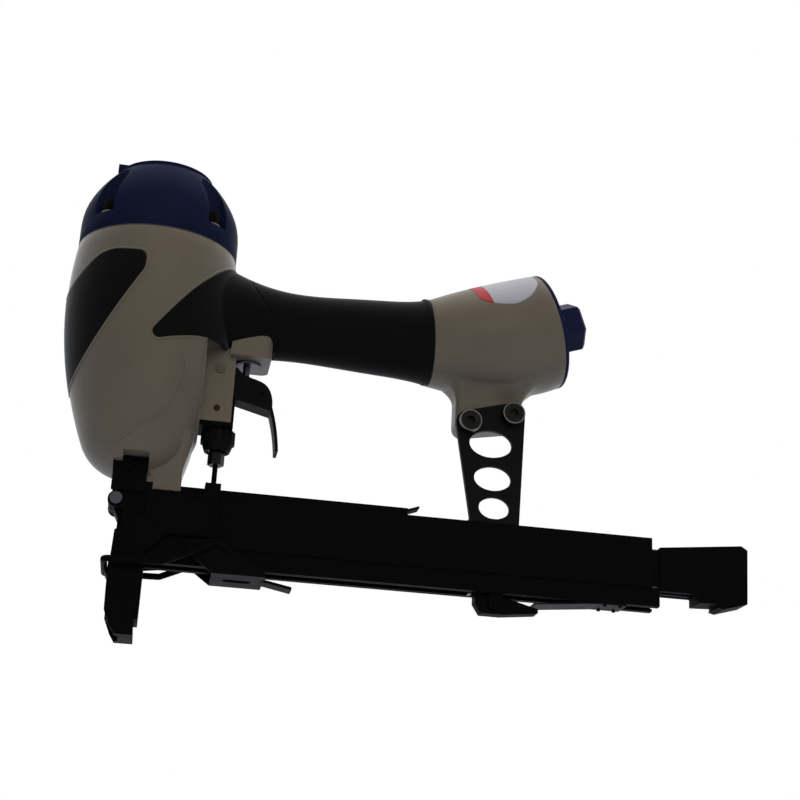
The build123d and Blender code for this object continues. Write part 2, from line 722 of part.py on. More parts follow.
# Gun body: one hollow casting of barrel, handle, rear barrel, trigger ears, valve boss and bracket boss
with BuildPart() as gun_body:
    add(barrel_skin)
    add(block(REAR_X, HEAD_W, -HEAD_W, HEAD_W, FOOT_Z, EARS_TOP), mode=Mode.SUBTRACT)
    fillet(gun_body.faces().filter_by(Axis.X).edges().filter_by(Axis.Y, reverse=True), REAR_EDGE_R)
    add(pad_recess.part, mode=Mode.SUBTRACT)
    add(handle_core)
    add(grip_collar.part)
    add(rear_skin)
    add(valve_boss)
    add(ears)
    # foot that widens into the barrel and the saddle over the magazine
    for height, half_width, back, corner in FOOT_STATIONS:
        with BuildSketch(Plane.XY.offset(NOSE_TOP + SEAT + height)):
            with Locations(((NOSE_HEAD_FRONT + back) / 2, 0)):
                RectangleRounded(back - NOSE_HEAD_FRONT, 2 * half_width, corner)
    loft()
    for near in (-NOSE_Y, NOSE_Y - SADDLE_T):
        add(
            block(
                MAG_FRONT,
                MAG_FRONT + SADDLE_LEN,
                near,
                near + SADDLE_T,
                NOSE_TOP - SADDLE_DROP,
                NOSE_TOP + SADDLE_DROP,
            )
        )
    for near in (-HEAD_W, NOSE_Y):
        for front, back, top in ((EAR_FRONT, EAR_BACK, EAR_TOP), (EAR_STEP_FRONT, EAR_FRONT, EAR_STEP_TOP)):
            add(
                block(front - GAP, back + GAP, near, near + HEAD_W - NOSE_Y, NOSE_LOW, top + GAP),
                mode=Mode.SUBTRACT,
            )
    add(bracket_boss.part)
    # cylinder seat and air chambers
    with BuildSketch(Plane.XZ):
        with BuildLine():
            Polyline(
                (0, SLEEVE_Z),
                (SLEEVE_R + RUN, SLEEVE_Z),
                (SLEEVE_R + RUN, SLEEVE_Z + SLEEVE_SEAT_H),
                (LOWER_CAVITY_R, SLEEVE_Z + SLEEVE_SEAT_H),
                (LOWER_CAVITY_R, EARS_TOP),
                (CAVITY_R, CAVITY_Z),
                (CAVITY_R, SEAT_Z),
                (0, SEAT_Z),
                close=True,
            )
        make_face()
    revolve(axis=Axis.Z, mode=Mode.SUBTRACT)
    add(handle_hollow, mode=Mode.SUBTRACT)
    add(rear_hollow, mode=Mode.SUBTRACT)
    with BuildSketch(END_PLANE):
        Circle(END_BORE_R)
    extrude(amount=-PLUG_LEN - GAP, mode=Mode.SUBTRACT)
    # screw bosses of the cap
    with BuildSketch(Plane.XY.offset(SEAT_Z)):
        with PolarLocations(CAP_SCREW_REACH, 4, start_angle=45):
            Circle(BOSS_R)
    extrude(amount=-BOSS_H)
    with BuildSketch(Plane.XY.offset(SEAT_Z)):
        with PolarLocations(CAP_SCREW_REACH, 4, start_angle=45):
            Circle(CAP_SCREW_R + RUN)
    extrude(amount=-CAP_SCREW_LEN, mode=Mode.SUBTRACT)
    # slot of the driver, slot and holes of the ears, valve bore, screw holes
    add(
        block(
            -DRIVER_SLOT_T / 2,
            DRIVER_SLOT_T / 2,
            -DRIVER_SLOT_W / 2,
            DRIVER_SLOT_W / 2,
            NOSE_TOP,
            SLEEVE_Z,
        ),
        mode=Mode.SUBTRACT,
    )
    add(block(SLOT_FRONT, EARS_BACK, -SLOT_W / 2, SLOT_W / 2, EARS_LOW, EARS_TOP - GAP), mode=Mode.SUBTRACT)
    add(cross_pin(PIVOT_X, PIVOT_Z, PIVOT_R + RUN, -EARS_W, EARS_W), mode=Mode.SUBTRACT)
    add(cross_pin(GUIDE_PIN_X, GUIDE_PIN_Z, GUIDE_PIN_R + RUN, -EARS_W, EARS_W), mode=Mode.SUBTRACT)
    add(
        tube(VALVE_BODY_R + RUN, 0, VALVE_BOSS_LOW, VALVE_BOSS_LOW + VALVE_BODY_LEN + GAP, VALVE_X),
        mode=Mode.SUBTRACT,
    )
    for x, z in (SCREW_A, SCREW_B):
        bore_end = BRACKET_Y + BRACKET_SCREW_LEN + GAP
        add(cross_pin(x, z, BRACKET_SCREW_R + RUN, BRACKET_Y, bore_end), mode=Mode.SUBTRACT)
    for x in (EAR_MID - NOSE_SCREW_X, EAR_MID + NOSE_SCREW_X):
        for near in (-NOSE_Y, NOSE_Y - NOSE_SCREW_GRIP):
            add(
                cross_pin(x, NOSE_SCREW_Z, NOSE_SCREW_R + RUN, near, near + NOSE_SCREW_GRIP),
                mode=Mode.SUBTRACT,
            )
gun_body.part.label = "gun_body"
export_step(gun_body.part, "parts/gun_body.step")

# Front pad, neck pad and grip sleeve
with BuildPart() as front_pad:
    add(barrel_over)
    add(barrel_under, mode=Mode.SUBTRACT)
    add(front_pad_side, mode=Mode.INTERSECT)
front_pad.part.label = "front_pad"
export_step(front_pad.part, "parts/front_pad.step")

with BuildPart() as neck_pad:
    add(barrel_over)
    add(handle_skin)
    add(barrel_under, mode=Mode.SUBTRACT)
    add(handle_seat, mode=Mode.SUBTRACT)
    add(neck_pad_side, mode=Mode.INTERSECT)
    add(grip_room, mode=Mode.SUBTRACT)
    add(valve_boss_room, mode=Mode.SUBTRACT)
    add(ears_room, mode=Mode.SUBTRACT)
neck_pad.part.label = "neck_pad"
export_step(neck_pad.part, "parts/neck_pad.step")

with BuildPart() as grip_sleeve:
    add(handle_skin)
    add(handle_seat, mode=Mode.SUBTRACT)
    add(grip_side, mode=Mode.INTERSECT)
    add(valve_boss_room, mode=Mode.SUBTRACT)
grip_sleeve.part.label = "grip_sleeve"
export_step(grip_sleeve.part, "parts/grip_sleeve.step")

# Cylinder sleeve, its rings and the bumper
with BuildPart() as cylinder_sleeve:
    add(tube(SLEEVE_R, BORE_R, SLEEVE_Z, SLEEVE_TOP))
    for z in (SLEEVE_Z + RING_Z, SLEEVE_Z + SLEEVE_SEAT_H - RING_Z):
        add(tube(SLEEVE_R + GAP, SLEEVE_R - RING_T, z - RING_T / 2, z + RING_T / 2), mode=Mode.SUBTRACT)
cylinder_sleeve.part.label = "cylinder_sleeve"
export_step(cylinder_sleeve.part, "parts/cylinder_sleeve.step")

with BuildPart() as sleeve_rings:
    for z in (SLEEVE_Z + RING_Z, SLEEVE_Z + SLEEVE_SEAT_H - RING_Z):
        add(tube(SLEEVE_R, SLEEVE_R - RING_T + SEAT, z - RING_T / 2 + SEAT, z + RING_T / 2 - SEAT))
sleeve_rings.part.label = "sleeve_rings"
export_step(sleeve_rings.part, "parts/sleeve_rings.step")

with BuildPart() as bumper:
    with BuildSketch(Plane.XZ):
        with BuildLine():
            Polyline(
                (BUMPER_HOLE_R, SLEEVE_Z + SEAT),
                (BORE_R - SEAT, SLEEVE_Z + SEAT),
                (BORE_R - BUMPER_TAPER, BUMPER_TOP),
                (BUMPER_HOLE_R, BUMPER_TOP),
                close=True,
            )
        make_face()
    revolve(axis=Axis.Z)
bumper.part.label = "bumper"
export_step(bumper.part, "parts/bumper.step")

# Piston with its ring and the driver blade
with BuildPart() as piston:
    add(tube(BORE_R - PISTON_FIT, 0, PISTON_Z, PISTON_Z + PISTON_H))
    add(
        tube(
            BORE_R,
            BORE_R - PISTON_FIT - RING_T,
            PISTON_Z + PISTON_H - RING_Z - RING_T,
            PISTON_Z + PISTON_H - RING_Z,
        ),
        mode=Mode.SUBTRACT,
    )
    add(tube(PISTON_CUP_R, 0, PISTON_Z + PISTON_H / 2, PISTON_Z + PISTON_H), mode=Mode.SUBTRACT)
    add(
        block(
            -DRIVER_T / 2 - RUN,
            DRIVER_T / 2 + RUN,
            -DRIVER_W / 2 - RUN,
            DRIVER_W / 2 + RUN,
            PISTON_Z,
            PISTON_Z + DRIVER_ROOT + RUN,
        ),
        mode=Mode.SUBTRACT,
    )
piston.part.label = "piston"
export_step(piston.part, "parts/piston.step")

with BuildPart() as piston_ring:
    add(
        tube(
            BORE_R - RUN,
            BORE_R - PISTON_FIT - RING_T + SEAT,
            PISTON_Z + PISTON_H - RING_Z - RING_T + SEAT,
            PISTON_Z + PISTON_H - RING_Z - SEAT,
        )
    )
piston_ring.part.label = "piston_ring"
export_step(piston_ring.part, "parts/piston_ring.step")

with BuildPart() as driver_blade:
    add(
        block(
            -DRIVER_T / 2,
            DRIVER_T / 2,
            -DRIVER_W / 2,
            DRIVER_W / 2,
            DRIVER_TIP_Z,
            PISTON_Z + DRIVER_ROOT,
        )
    )
driver_blade.part.label = "driver_blade"
export_step(driver_blade.part, "parts/driver_blade.step")

# Cap gasket and cylinder cap
with BuildPart() as cap_gasket:
    add(tube(SEAT_R - SEAT, CAP_BORE_R + GAP, SEAT_Z, CAP_Z))
    with BuildSketch(Plane.XY.offset(SEAT_Z)):
        with PolarLocations(CAP_SCREW_REACH, 4, start_angle=45):
            Circle(CAP_SCREW_R + RUN)
    extrude(amount=GASKET_T, mode=Mode.SUBTRACT)
cap_gasket.part.label = "cap_gasket"
export_step(cap_gasket.part, "parts/cap_gasket.step")

with BuildPart() as cylinder_cap:
    with BuildSketch(Plane.XZ):
        with BuildLine():
            wall = Line((SEAT_R, CAP_Z), (SEAT_R, CAP_Z + CAP_WALL_H))
            dome = Spline(
                wall @ 1,
                (CAP_MID_R, CAP_MID_Z),
                (CAP_TOP_R, CAP_TOP_Z),
                tangents=((0, 1), (-CAP_TOP_R, CAP_TOP_Z - CAP_MID_Z)),
                tangent_scalars=(1, CAP_SHOULDER),
            )
            Polyline(dome @ 1, (0, CAP_TOP_Z), (0, CAP_Z), wall @ 0)
        make_face()
    revolve(axis=Axis.Z)
    # cylinder of the head valve, spring seat and exhaust ports
    add(tube(CAP_BORE_R, 0, CAP_Z, CAP_ROOF_Z), mode=Mode.SUBTRACT)
    with BuildSketch(Plane.XY.offset(CAP_TOP_Z)):
        with PolarLocations(PORT_REACH, 4):
            Circle(PORT_R)
        Circle(DEFLECTOR_SCREW_R + RUN)
    extrude(amount=-CAP_ROOF_T, mode=Mode.SUBTRACT)
    # four screw pockets open to the outside
    with BuildSketch(Plane.XY.offset(POCKET_Z)):
        with PolarLocations(CAP_SCREW_REACH, 4, start_angle=45):
            Circle(POCKET_R)
        with PolarLocations(CAP_SCREW_REACH + POCKET_R, 4, start_angle=45):
            Rectangle(2 * POCKET_R, 2 * POCKET_R)
    extrude(amount=CAP_TOP_Z - POCKET_Z, mode=Mode.SUBTRACT)
    with BuildSketch(Plane.XY.offset(CAP_Z)):
        with PolarLocations(CAP_SCREW_REACH, 4, start_angle=45):
            Circle(CAP_SCREW_R + RUN)
    extrude(amount=POCKET_Z - CAP_Z, mode=Mode.SUBTRACT)
cylinder_cap.part.label = "cylinder_cap"
export_step(cylinder_cap.part, "parts/cylinder_cap.step")

with BuildPart() as cap_washers:
    with BuildSketch(Plane.XY.offset(POCKET_Z)):
        with PolarLocations(CAP_SCREW_REACH, 4, start_angle=45):
            Circle(WASHER_R)
            Circle(CAP_SCREW_R + RUN, mode=Mode.SUBTRACT)
    extrude(amount=WASHER_T)
cap_washers.part.label = "cap_washers"
export_step(cap_washers.part, "parts/cap_washers.step")

with BuildPart() as cap_screws:
    with BuildSketch(Plane.XY.offset(POCKET_Z + WASHER_T)):
        with PolarLocations(CAP_SCREW_REACH, 4, start_angle=45):
            Circle(CAP_HEAD_R)
    extrude(amount=CAP_HEAD_H)
    with BuildSketch(Plane.XY.offset(POCKET_Z + WASHER_T)):
        with PolarLocations(CAP_SCREW_REACH, 4, start_angle=45):
            Circle(CAP_SCREW_R)
    extrude(amount=SEAT_Z - CAP_SCREW_LEN + GAP - POCKET_Z - WASHER_T)
    with BuildSketch(Plane.XY.offset(POCKET_Z + WASHER_T + CAP_HEAD_H)):
        with PolarLocations(CAP_SCREW_REACH, 4, start_angle=45):
            RegularPolygon(CAP_SOCKET_R, 6)
    extrude(amount=-CAP_HEAD_H / 2, mode=Mode.SUBTRACT)
cap_screws.part.label = "cap_screws"
export_step(cap_screws.part, "parts/cap_screws.step")

# Head valve with its ring and spring
with BuildPart() as head_valve:
    add(tube(SLEEVE_R, BORE_R - SLEEVE_T, VALVE_Z, VALVE_DISC_Z))
    add(tube(VALVE_R, VALVE_STEM_R / 2, VALVE_DISC_Z, VALVE_TOP))
    add(tube(VALVE_STEM_R, VALVE_STEM_R / 2, VALVE_TOP, VALVE_TOP + VALVE_STEM_H))
    add(
        tube(VALVE_R + GAP, VALVE_R - RING_T, VALVE_TOP - RING_Z - RING_T, VALVE_TOP - RING_Z),
        mode=Mode.SUBTRACT,
    )
head_valve.part.label = "head_valve"
export_step(head_valve.part, "parts/head_valve.step")

with BuildPart() as head_valve_ring:
    add(
        tube(
            CAP_BORE_R - RUN,
            VALVE_R - RING_T + SEAT,
            VALVE_TOP - RING_Z - RING_T + SEAT,
            VALVE_TOP - RING_Z - SEAT,
        )
    )
head_valve_ring.part.label = "head_valve_ring"
export_step(head_valve_ring.part, "parts/head_valve_ring.step")

with BuildPart() as head_valve_spring:
    add(tube(HEAD_SPRING_R, HEAD_SPRING_R - HEAD_SPRING_T, VALVE_TOP + SEAT, CAP_ROOF_Z - SEAT))
head_valve_spring.part.label = "head_valve_spring"
export_step(head_valve_spring.part, "parts/head_valve_spring.step")

# Exhaust deflector: a turning hood on the cap, held by one screw
with BuildPart() as exhaust_deflector:
    with BuildSketch(Plane.XZ):
        with BuildLine():
            rim = Line((DEFLECTOR_R, DEFLECTOR_Z), (DEFLECTOR_R, DEFLECTOR_Z + DEFLECTOR_RIM))
            crown = Spline(rim @ 1, (0, DEFLECTOR_TOP_Z), tangents=((-1, DEFLECTOR_RISE), (-1, 0)))
            Polyline(crown @ 1, (0, DEFLECTOR_Z), rim @ 0)
        make_face()
    revolve(axis=Axis.Z)
    add(block(HOOD_X, HOOD_X + HOOD_LEN, -HOOD_W / 2, HOOD_W / 2, DEFLECTOR_Z, HOOD_TOP_Z))
    # exhaust room below the crown and the outlet at the front
    add(
        tube(
            DEFLECTOR_R - DEFLECTOR_WALL,
            DEFLECTOR_HEAD_R + DEFLECTOR_WALL,
            DEFLECTOR_Z,
            DEFLECTOR_Z + DEFLECTOR_ROOM,
        ),
        mode=Mode.SUBTRACT,
    )
    add(
        block(
            HOOD_X - GAP,
            -DEFLECTOR_HEAD_R - 2 * DEFLECTOR_WALL,
            DEFLECTOR_WALL - HOOD_W / 2,
            HOOD_W / 2 - DEFLECTOR_WALL,
            DEFLECTOR_Z,
            DEFLECTOR_Z + DEFLECTOR_ROOM,
        ),
        mode=Mode.SUBTRACT,
    )
    add(tube(DEFLECTOR_SCREW_R + RUN, 0, DEFLECTOR_Z, DEFLECTOR_TOP_Z), mode=Mode.SUBTRACT)
    add(
        tube(DEFLECTOR_HEAD_R + GAP, 0, DEFLECTOR_HEAD_Z - SEAT, DEFLECTOR_TOP_Z),
        mode=Mode.SUBTRACT,
    )
exhaust_deflector.part.label = "exhaust_deflector"
export_step(exhaust_deflector.part, "parts/exhaust_deflector.step")

with BuildPart() as deflector_screw:
    add(tube(DEFLECTOR_SCREW_R, 0, CAP_ROOF_Z + GAP, DEFLECTOR_HEAD_Z))
    add(tube(DEFLECTOR_HEAD_R, 0, DEFLECTOR_HEAD_Z, DEFLECTOR_HEAD_Z + DEFLECTOR_HEAD_H))
    with BuildSketch(Plane.XY.offset(DEFLECTOR_HEAD_Z + DEFLECTOR_HEAD_H)):
        RegularPolygon(DEFLECTOR_SCREW_R, 6)
    extrude(amount=-DEFLECTOR_HEAD_H / 2, mode=Mode.SUBTRACT)
deflector_screw.part.label = "deflector_screw"
export_step(deflector_screw.part, "parts/deflector_screw.step")

# End cap with its hexagon and air inlet, and its ring
with BuildPart() as end_cap:
    with BuildSketch(END_PLANE):
        Circle(RIM_R)
    extrude(amount=FLANGE_T)
    with BuildSketch(END_PLANE):
        Circle(END_BORE_R - PLUG_FIT)
    extrude(amount=-PLUG_LEN)
    with BuildSketch(END_PLANE.offset(FLANGE_T)):
        RegularPolygon(HEX_FLATS / 2, 6, major_radius=False, rotation=30)
    extrude(amount=HEX_LEN)
    chamfer(end_cap.faces().sort_by(Axis.X)[-1].edges(), HEX_CHAMFER)
    with BuildSketch(END_PLANE.offset(FLANGE_T + HEX_LEN)):
        Circle(INLET_R)
    extrude(amount=-FLANGE_T - HEX_LEN - PLUG_LEN, mode=Mode.SUBTRACT)
    with BuildSketch(END_PLANE.offset(-PLUG_LEN / 2)):
        Circle(END_BORE_R)
        Circle(END_BORE_R - PLUG_FIT - RING_T, mode=Mode.SUBTRACT)
    extrude(amount=RING_T, mode=Mode.SUBTRACT)
end_cap.part.label = "end_cap"
export_step(end_cap.part, "parts/end_cap.step")

with BuildPart() as end_cap_ring:
    with BuildSketch(END_PLANE.offset(SEAT - PLUG_LEN / 2)):
        Circle(END_BORE_R - RUN)
        Circle(END_BORE_R - PLUG_FIT - RING_T + SEAT, mode=Mode.SUBTRACT)
    extrude(amount=RING_T - 2 * SEAT)
end_cap_ring.part.label = "end_cap_ring"
export_step(end_cap_ring.part, "parts/end_cap_ring.step")

# Trigger valve: body, plunger and spring
with BuildPart() as valve_body:
    add(tube(VALVE_BODY_R, 0, VALVE_LOW, VALVE_BODY_TOP, VALVE_X))
    add(tube(VALVE_FLANGE_R, 0, VALVE_LOW, VALVE_LOW + VALVE_FLANGE_T, VALVE_X))
    add(tube(PLUNGER_R + RUN, 0, VALVE_LOW, VALVE_BODY_TOP - VALVE_WEB_T, VALVE_X), mode=Mode.SUBTRACT)
    add(tube(VALVE_CHAMBER_R, 0, COLLAR_Z - GAP, VALVE_BODY_TOP - VALVE_WEB_T, VALVE_X), mode=Mode.SUBTRACT)
    add(tube(AIR_HOLE_R, 0, COLLAR_Z, VALVE_BODY_TOP, VALVE_X), mode=Mode.SUBTRACT)
valve_body.part.label = "valve_body"
export_step(valve_body.part, "parts/valve_body.step")

with BuildPart() as valve_plunger:
    add(tube(PLUNGER_R, 0, LEVER_TOP_Z + PLUNGER_REST, COLLAR_Z, VALVE_X))
    add(tube(PLUNGER_COLLAR_R, 0, COLLAR_Z, COLLAR_Z + PLUNGER_COLLAR_T, VALVE_X))
valve_plunger.part.label = "valve_plunger"
export_step(valve_plunger.part, "parts/valve_plunger.step")

with BuildPart() as valve_spring:
    add(
        tube(
            VALVE_SPRING_R,
            VALVE_SPRING_R - VALVE_SPRING_T,
            COLLAR_Z + PLUNGER_COLLAR_T + SEAT,
            VALVE_BODY_TOP - VALVE_WEB_T - SEAT,
            VALVE_X,
        )
    )
valve_spring.part.label = "valve_spring"
export_step(valve_spring.part, "parts/valve_spring.step")

# Trigger: a channel open above, with a finger tail, on a pin between the ears
with BuildPart() as trigger:
    with BuildSketch(Plane.XZ.offset(-TRIGGER_W / 2)):
        with BuildLine():
            back = Spline(*TRIGGER_CROWN)
            Polyline(
                back @ 1,
                TRIGGER_HEEL,
                (PIVOT_X - PIVOT_EYE_R, PIVOT_Z),
                (PIVOT_X, PIVOT_Z + PIVOT_EYE_R),
                back @ 0,
            )
        make_face()
        with Locations((PIVOT_X, PIVOT_Z)):
            Circle(PIVOT_EYE_R)
    extrude(amount=TRIGGER_W)
    add(
        plate(
            [
                (PIVOT_X - 2 * PIVOT_EYE_R, PIVOT_Z + 2 * PIVOT_EYE_R),
                (TRIGGER_CROWN[3][0] - TRIGGER_SKIN, PIVOT_Z + 2 * PIVOT_EYE_R),
                (TRIGGER_CROWN[4][0] - TRIGGER_SKIN, TRIGGER_CROWN[4][1] + TRIGGER_SKIN),
                (TRIGGER_HEEL[0], TRIGGER_HEEL[1] + TRIGGER_SKIN),
                (PIVOT_X - 2 * PIVOT_EYE_R, TRIGGER_HEEL[1] + TRIGGER_SKIN),
            ],
            TRIGGER_WALL - TRIGGER_W / 2,
            TRIGGER_W / 2 - TRIGGER_WALL,
        ),
        mode=Mode.SUBTRACT,
    )
    with BuildSketch(Plane.XZ.offset(-TRIGGER_W / 2)):
        with BuildLine():
            rear = Spline(*TRIGGER_TAIL)
            front = Spline(*[(x - TRIGGER_TAIL_T, z) for x, z in TRIGGER_TAIL])
            Line(rear @ 0, front @ 0)
            Line(rear @ 1, front @ 1)
        make_face()
    extrude(amount=TRIGGER_W)
    add(cross_pin(PIVOT_X, PIVOT_Z, PIVOT_R + RUN, -TRIGGER_W, TRIGGER_W), mode=Mode.SUBTRACT)
    add(cross_pin(LEVER_PIN_X, LEVER_PIN_Z, LEVER_PIN_R, -TRIGGER_W, TRIGGER_W), mode=Mode.SUBTRACT)
trigger.part.label = "trigger"
export_step(trigger.part, "parts/trigger.step")

with BuildPart() as trigger_pin:
    add(cross_pin(PIVOT_X, PIVOT_Z, PIVOT_R, -EARS_W / 2 - PIN_PROUD, EARS_W / 2 + PIN_PROUD))
trigger_pin.part.label = "trigger_pin"
export_step(trigger_pin.part, "parts/trigger_pin.step")

with BuildPart() as lever_pin:
    add(cross_pin(LEVER_PIN_X, LEVER_PIN_Z, LEVER_PIN_R, -TRIGGER_W / 2, TRIGGER_W / 2))
lever_pin.part.label = "lever_pin"
export_step(lever_pin.part, "parts/lever_pin.step")

with BuildPart() as trigger_lever:
    add(block(LEVER_FRONT_X, LEVER_PIN_X, -LEVER_W / 2, LEVER_W / 2, LEVER_TOP_Z - LEVER_T, LEVER_TOP_Z))
    add(cross_pin(LEVER_PIN_X, LEVER_PIN_Z, LEVER_EYE_R, -LEVER_W / 2, LEVER_W / 2))
    add(
        block(
            LEVER_PIN_X - LEVER_EYE_R,
            LEVER_PIN_X + LEVER_EYE_R,
            -LEVER_W / 2,
            LEVER_W / 2,
            LEVER_PIN_Z,
            LEVER_TOP_Z,
        )
    )
    add(cross_pin(LEVER_PIN_X, LEVER_PIN_Z, LEVER_PIN_R + RUN, -LEVER_W, LEVER_W), mode=Mode.SUBTRACT)
trigger_lever.part.label = "trigger_lever"
export_step(trigger_lever.part, "parts/trigger_lever.step")

# Guide of the contact trip under the ears, held by two pins
with BuildPart() as trip_guide:
    add(block(GUIDE_FRONT, EARS_BACK + GAP, -GUIDE_W / 2, GUIDE_W / 2, GUIDE_TOP - GUIDE_T, GUIDE_TOP))
    add(
        block(
            EARS_BACK + GAP,
            EARS_BACK + GAP + GUIDE_STRIP_T,
            -SLOT_W / 2,
            SLOT_W / 2,
            GUIDE_TOP - GUIDE_T,
            GUIDE_STRIP_TOP,
        )
    )
    for near in (-GUIDE_LUG_Y - GUIDE_LUG_T, GUIDE_LUG_Y):
        with BuildSketch(Plane.XZ.offset(-near - GUIDE_LUG_T)):
            with Locations((GUIDE_PIN_X, GUIDE_PIN_Z)):
                Circle(GUIDE_LUG_LEN / 2)
            with Locations((GUIDE_PIN_X, (GUIDE_PIN_Z + GUIDE_TOP - GUIDE_T) / 2)):
                Rectangle(GUIDE_LUG_LEN, GUIDE_PIN_Z - GUIDE_TOP + GUIDE_T)
        extrude(amount=GUIDE_LUG_T)
    add(tube(STUB_R, 0, STUB_LOW, GUIDE_TOP - GUIDE_T, TRIP_X))
    add(tube(ROD_R + RUN, 0, STUB_LOW, GUIDE_TOP, TRIP_X), mode=Mode.SUBTRACT)
    add(cross_pin(GUIDE_PIN_X, GUIDE_PIN_Z, GUIDE_PIN_R + RUN, -GUIDE_W, GUIDE_W), mode=Mode.SUBTRACT)
trip_guide.part.label = "trip_guide"
export_step(trip_guide.part, "parts/trip_guide.step")

with BuildPart() as guide_pins:
    for near in (-EARS_W / 2 - PIN_PROUD, GUIDE_LUG_Y):
        add(
            cross_pin(
                GUIDE_PIN_X, GUIDE_PIN_Z, GUIDE_PIN_R, near, near + EARS_W / 2 + PIN_PROUD - GUIDE_LUG_Y
            )
        )
guide_pins.part.label = "guide_pins"
export_step(guide_pins.part, "parts/guide_pins.step")

# Depth adjustment knob on the stub of the guide
with BuildPart() as adjustment_knob:
    with BuildSketch(Plane.XY.offset(KNOB_Z + KNOB_CONE_H)):
        with Locations((TRIP_X, 0)):
            Circle(KNOB_R)
            with PolarLocations(KNOB_R, KNOB_FLUTES):
                Circle(KNOB_FLUTE_R, mode=Mode.SUBTRACT)
    extrude(amount=KNOB_H - KNOB_CONE_H)
    for z, radius in ((KNOB_Z - KNOB_SKIRT_H, KNOB_SKIRT_R), (KNOB_Z + KNOB_CONE_H, KNOB_R - KNOB_FLUTE_R)):
        with BuildSketch(Plane.XY.offset(z)):
            with Locations((TRIP_X, 0)):
                Circle(radius)
    loft()
    add(
        tube(KNOB_BORE_R, 0, KNOB_Z - KNOB_SKIRT_H, KNOB_Z + KNOB_H - KNOB_WEB_T, TRIP_X),
        mode=Mode.SUBTRACT,
    )
    add(tube(STUB_R + RUN, 0, KNOB_Z, KNOB_Z + KNOB_H, TRIP_X), mode=Mode.SUBTRACT)
adjustment_knob.part.label = "adjustment_knob"
export_step(adjustment_knob.part, "parts/adjustment_knob.step")

# Contact trip: foot and arm of bent sheet, rod, stop nut and return spring
with BuildPart() as contact_arm:
    add(
        plate(
            [
                *FOOT_NOSE,
                (FOOT_FRONT, 0),
                (FOOT_BACK, 0),
                *FOOT_HEEL,
                *ARM_REAR,
                (ARM_REAR[2][0], TONGUE_Z + ARM_T),
                (TONGUE_FRONT, TONGUE_Z + ARM_T),
                (TONGUE_FRONT, ARM_FRONT[0][1]),
                *ARM_FRONT,
            ],
            -ARM_Y - ARM_T,
            -ARM_Y,
            ARM_CORNER_R,
        )
    )
    add(
        plate(
            [
                (FOOT_NOSE[0][0], FOOT_SIDE_TOP),
                *FOOT_NOSE,
                (FOOT_FRONT, 0),
                (FOOT_BACK, 0),
                *FOOT_HEEL,
                (FOOT_HEEL[2][0], FOOT_SIDE_TOP),
            ],
            ARM_Y,
            ARM_Y + ARM_T,
            ARM_CORNER_R,
        )
    )
    add(block(FOOT_FRONT, FOOT_BACK, -ARM_Y - ARM_T, ARM_Y + ARM_T, 0, SOLE_T))
    add(
        block(FOOT_FRONT, SOLE_WINDOW_X, -SOLE_WINDOW_W / 2, SOLE_WINDOW_W / 2, 0, SOLE_T),
        mode=Mode.SUBTRACT,
    )
    add(block(TONGUE_FRONT, ARM_REAR[2][0], -ARM_Y - ARM_T, TONGUE_Y, TONGUE_Z, TONGUE_Z + ARM_T))
    add(tube(ROD_R, 0, TONGUE_Z, TONGUE_Z + ARM_T, TRIP_X), mode=Mode.SUBTRACT)
contact_arm.part.label = "contact_arm"
export_step(contact_arm.part, "parts/contact_arm.step")

with BuildPart() as trip_rod:
    add(tube(ROD_R, 0, TONGUE_Z, ROD_TOP_Z, TRIP_X))
trip_rod.part.label = "trip_rod"
export_step(trip_rod.part, "parts/trip_rod.step")

with BuildPart() as stop_nut:
    with BuildSketch(Plane.XY.offset(NUT_Z)):
        with Locations((TRIP_X, 0)):
            RegularPolygon(NUT_FLATS / 2, 6, major_radius=False)
            Circle(ROD_R, mode=Mode.SUBTRACT)
    extrude(amount=NUT_H)
stop_nut.part.label = "stop_nut"
export_step(stop_nut.part, "parts/stop_nut.step")

with BuildPart() as trip_spring:
    add(
        tube(
            TRIP_SPRING_R,
            TRIP_SPRING_R - TRIP_SPRING_T,
            NUT_Z + NUT_H + SEAT,
            KNOB_Z + KNOB_H - KNOB_WEB_T - SEAT,
            TRIP_X,
        )
    )
trip_spring.part.label = "trip_spring"
export_step(trip_spring.part, "parts/trip_spring.step")

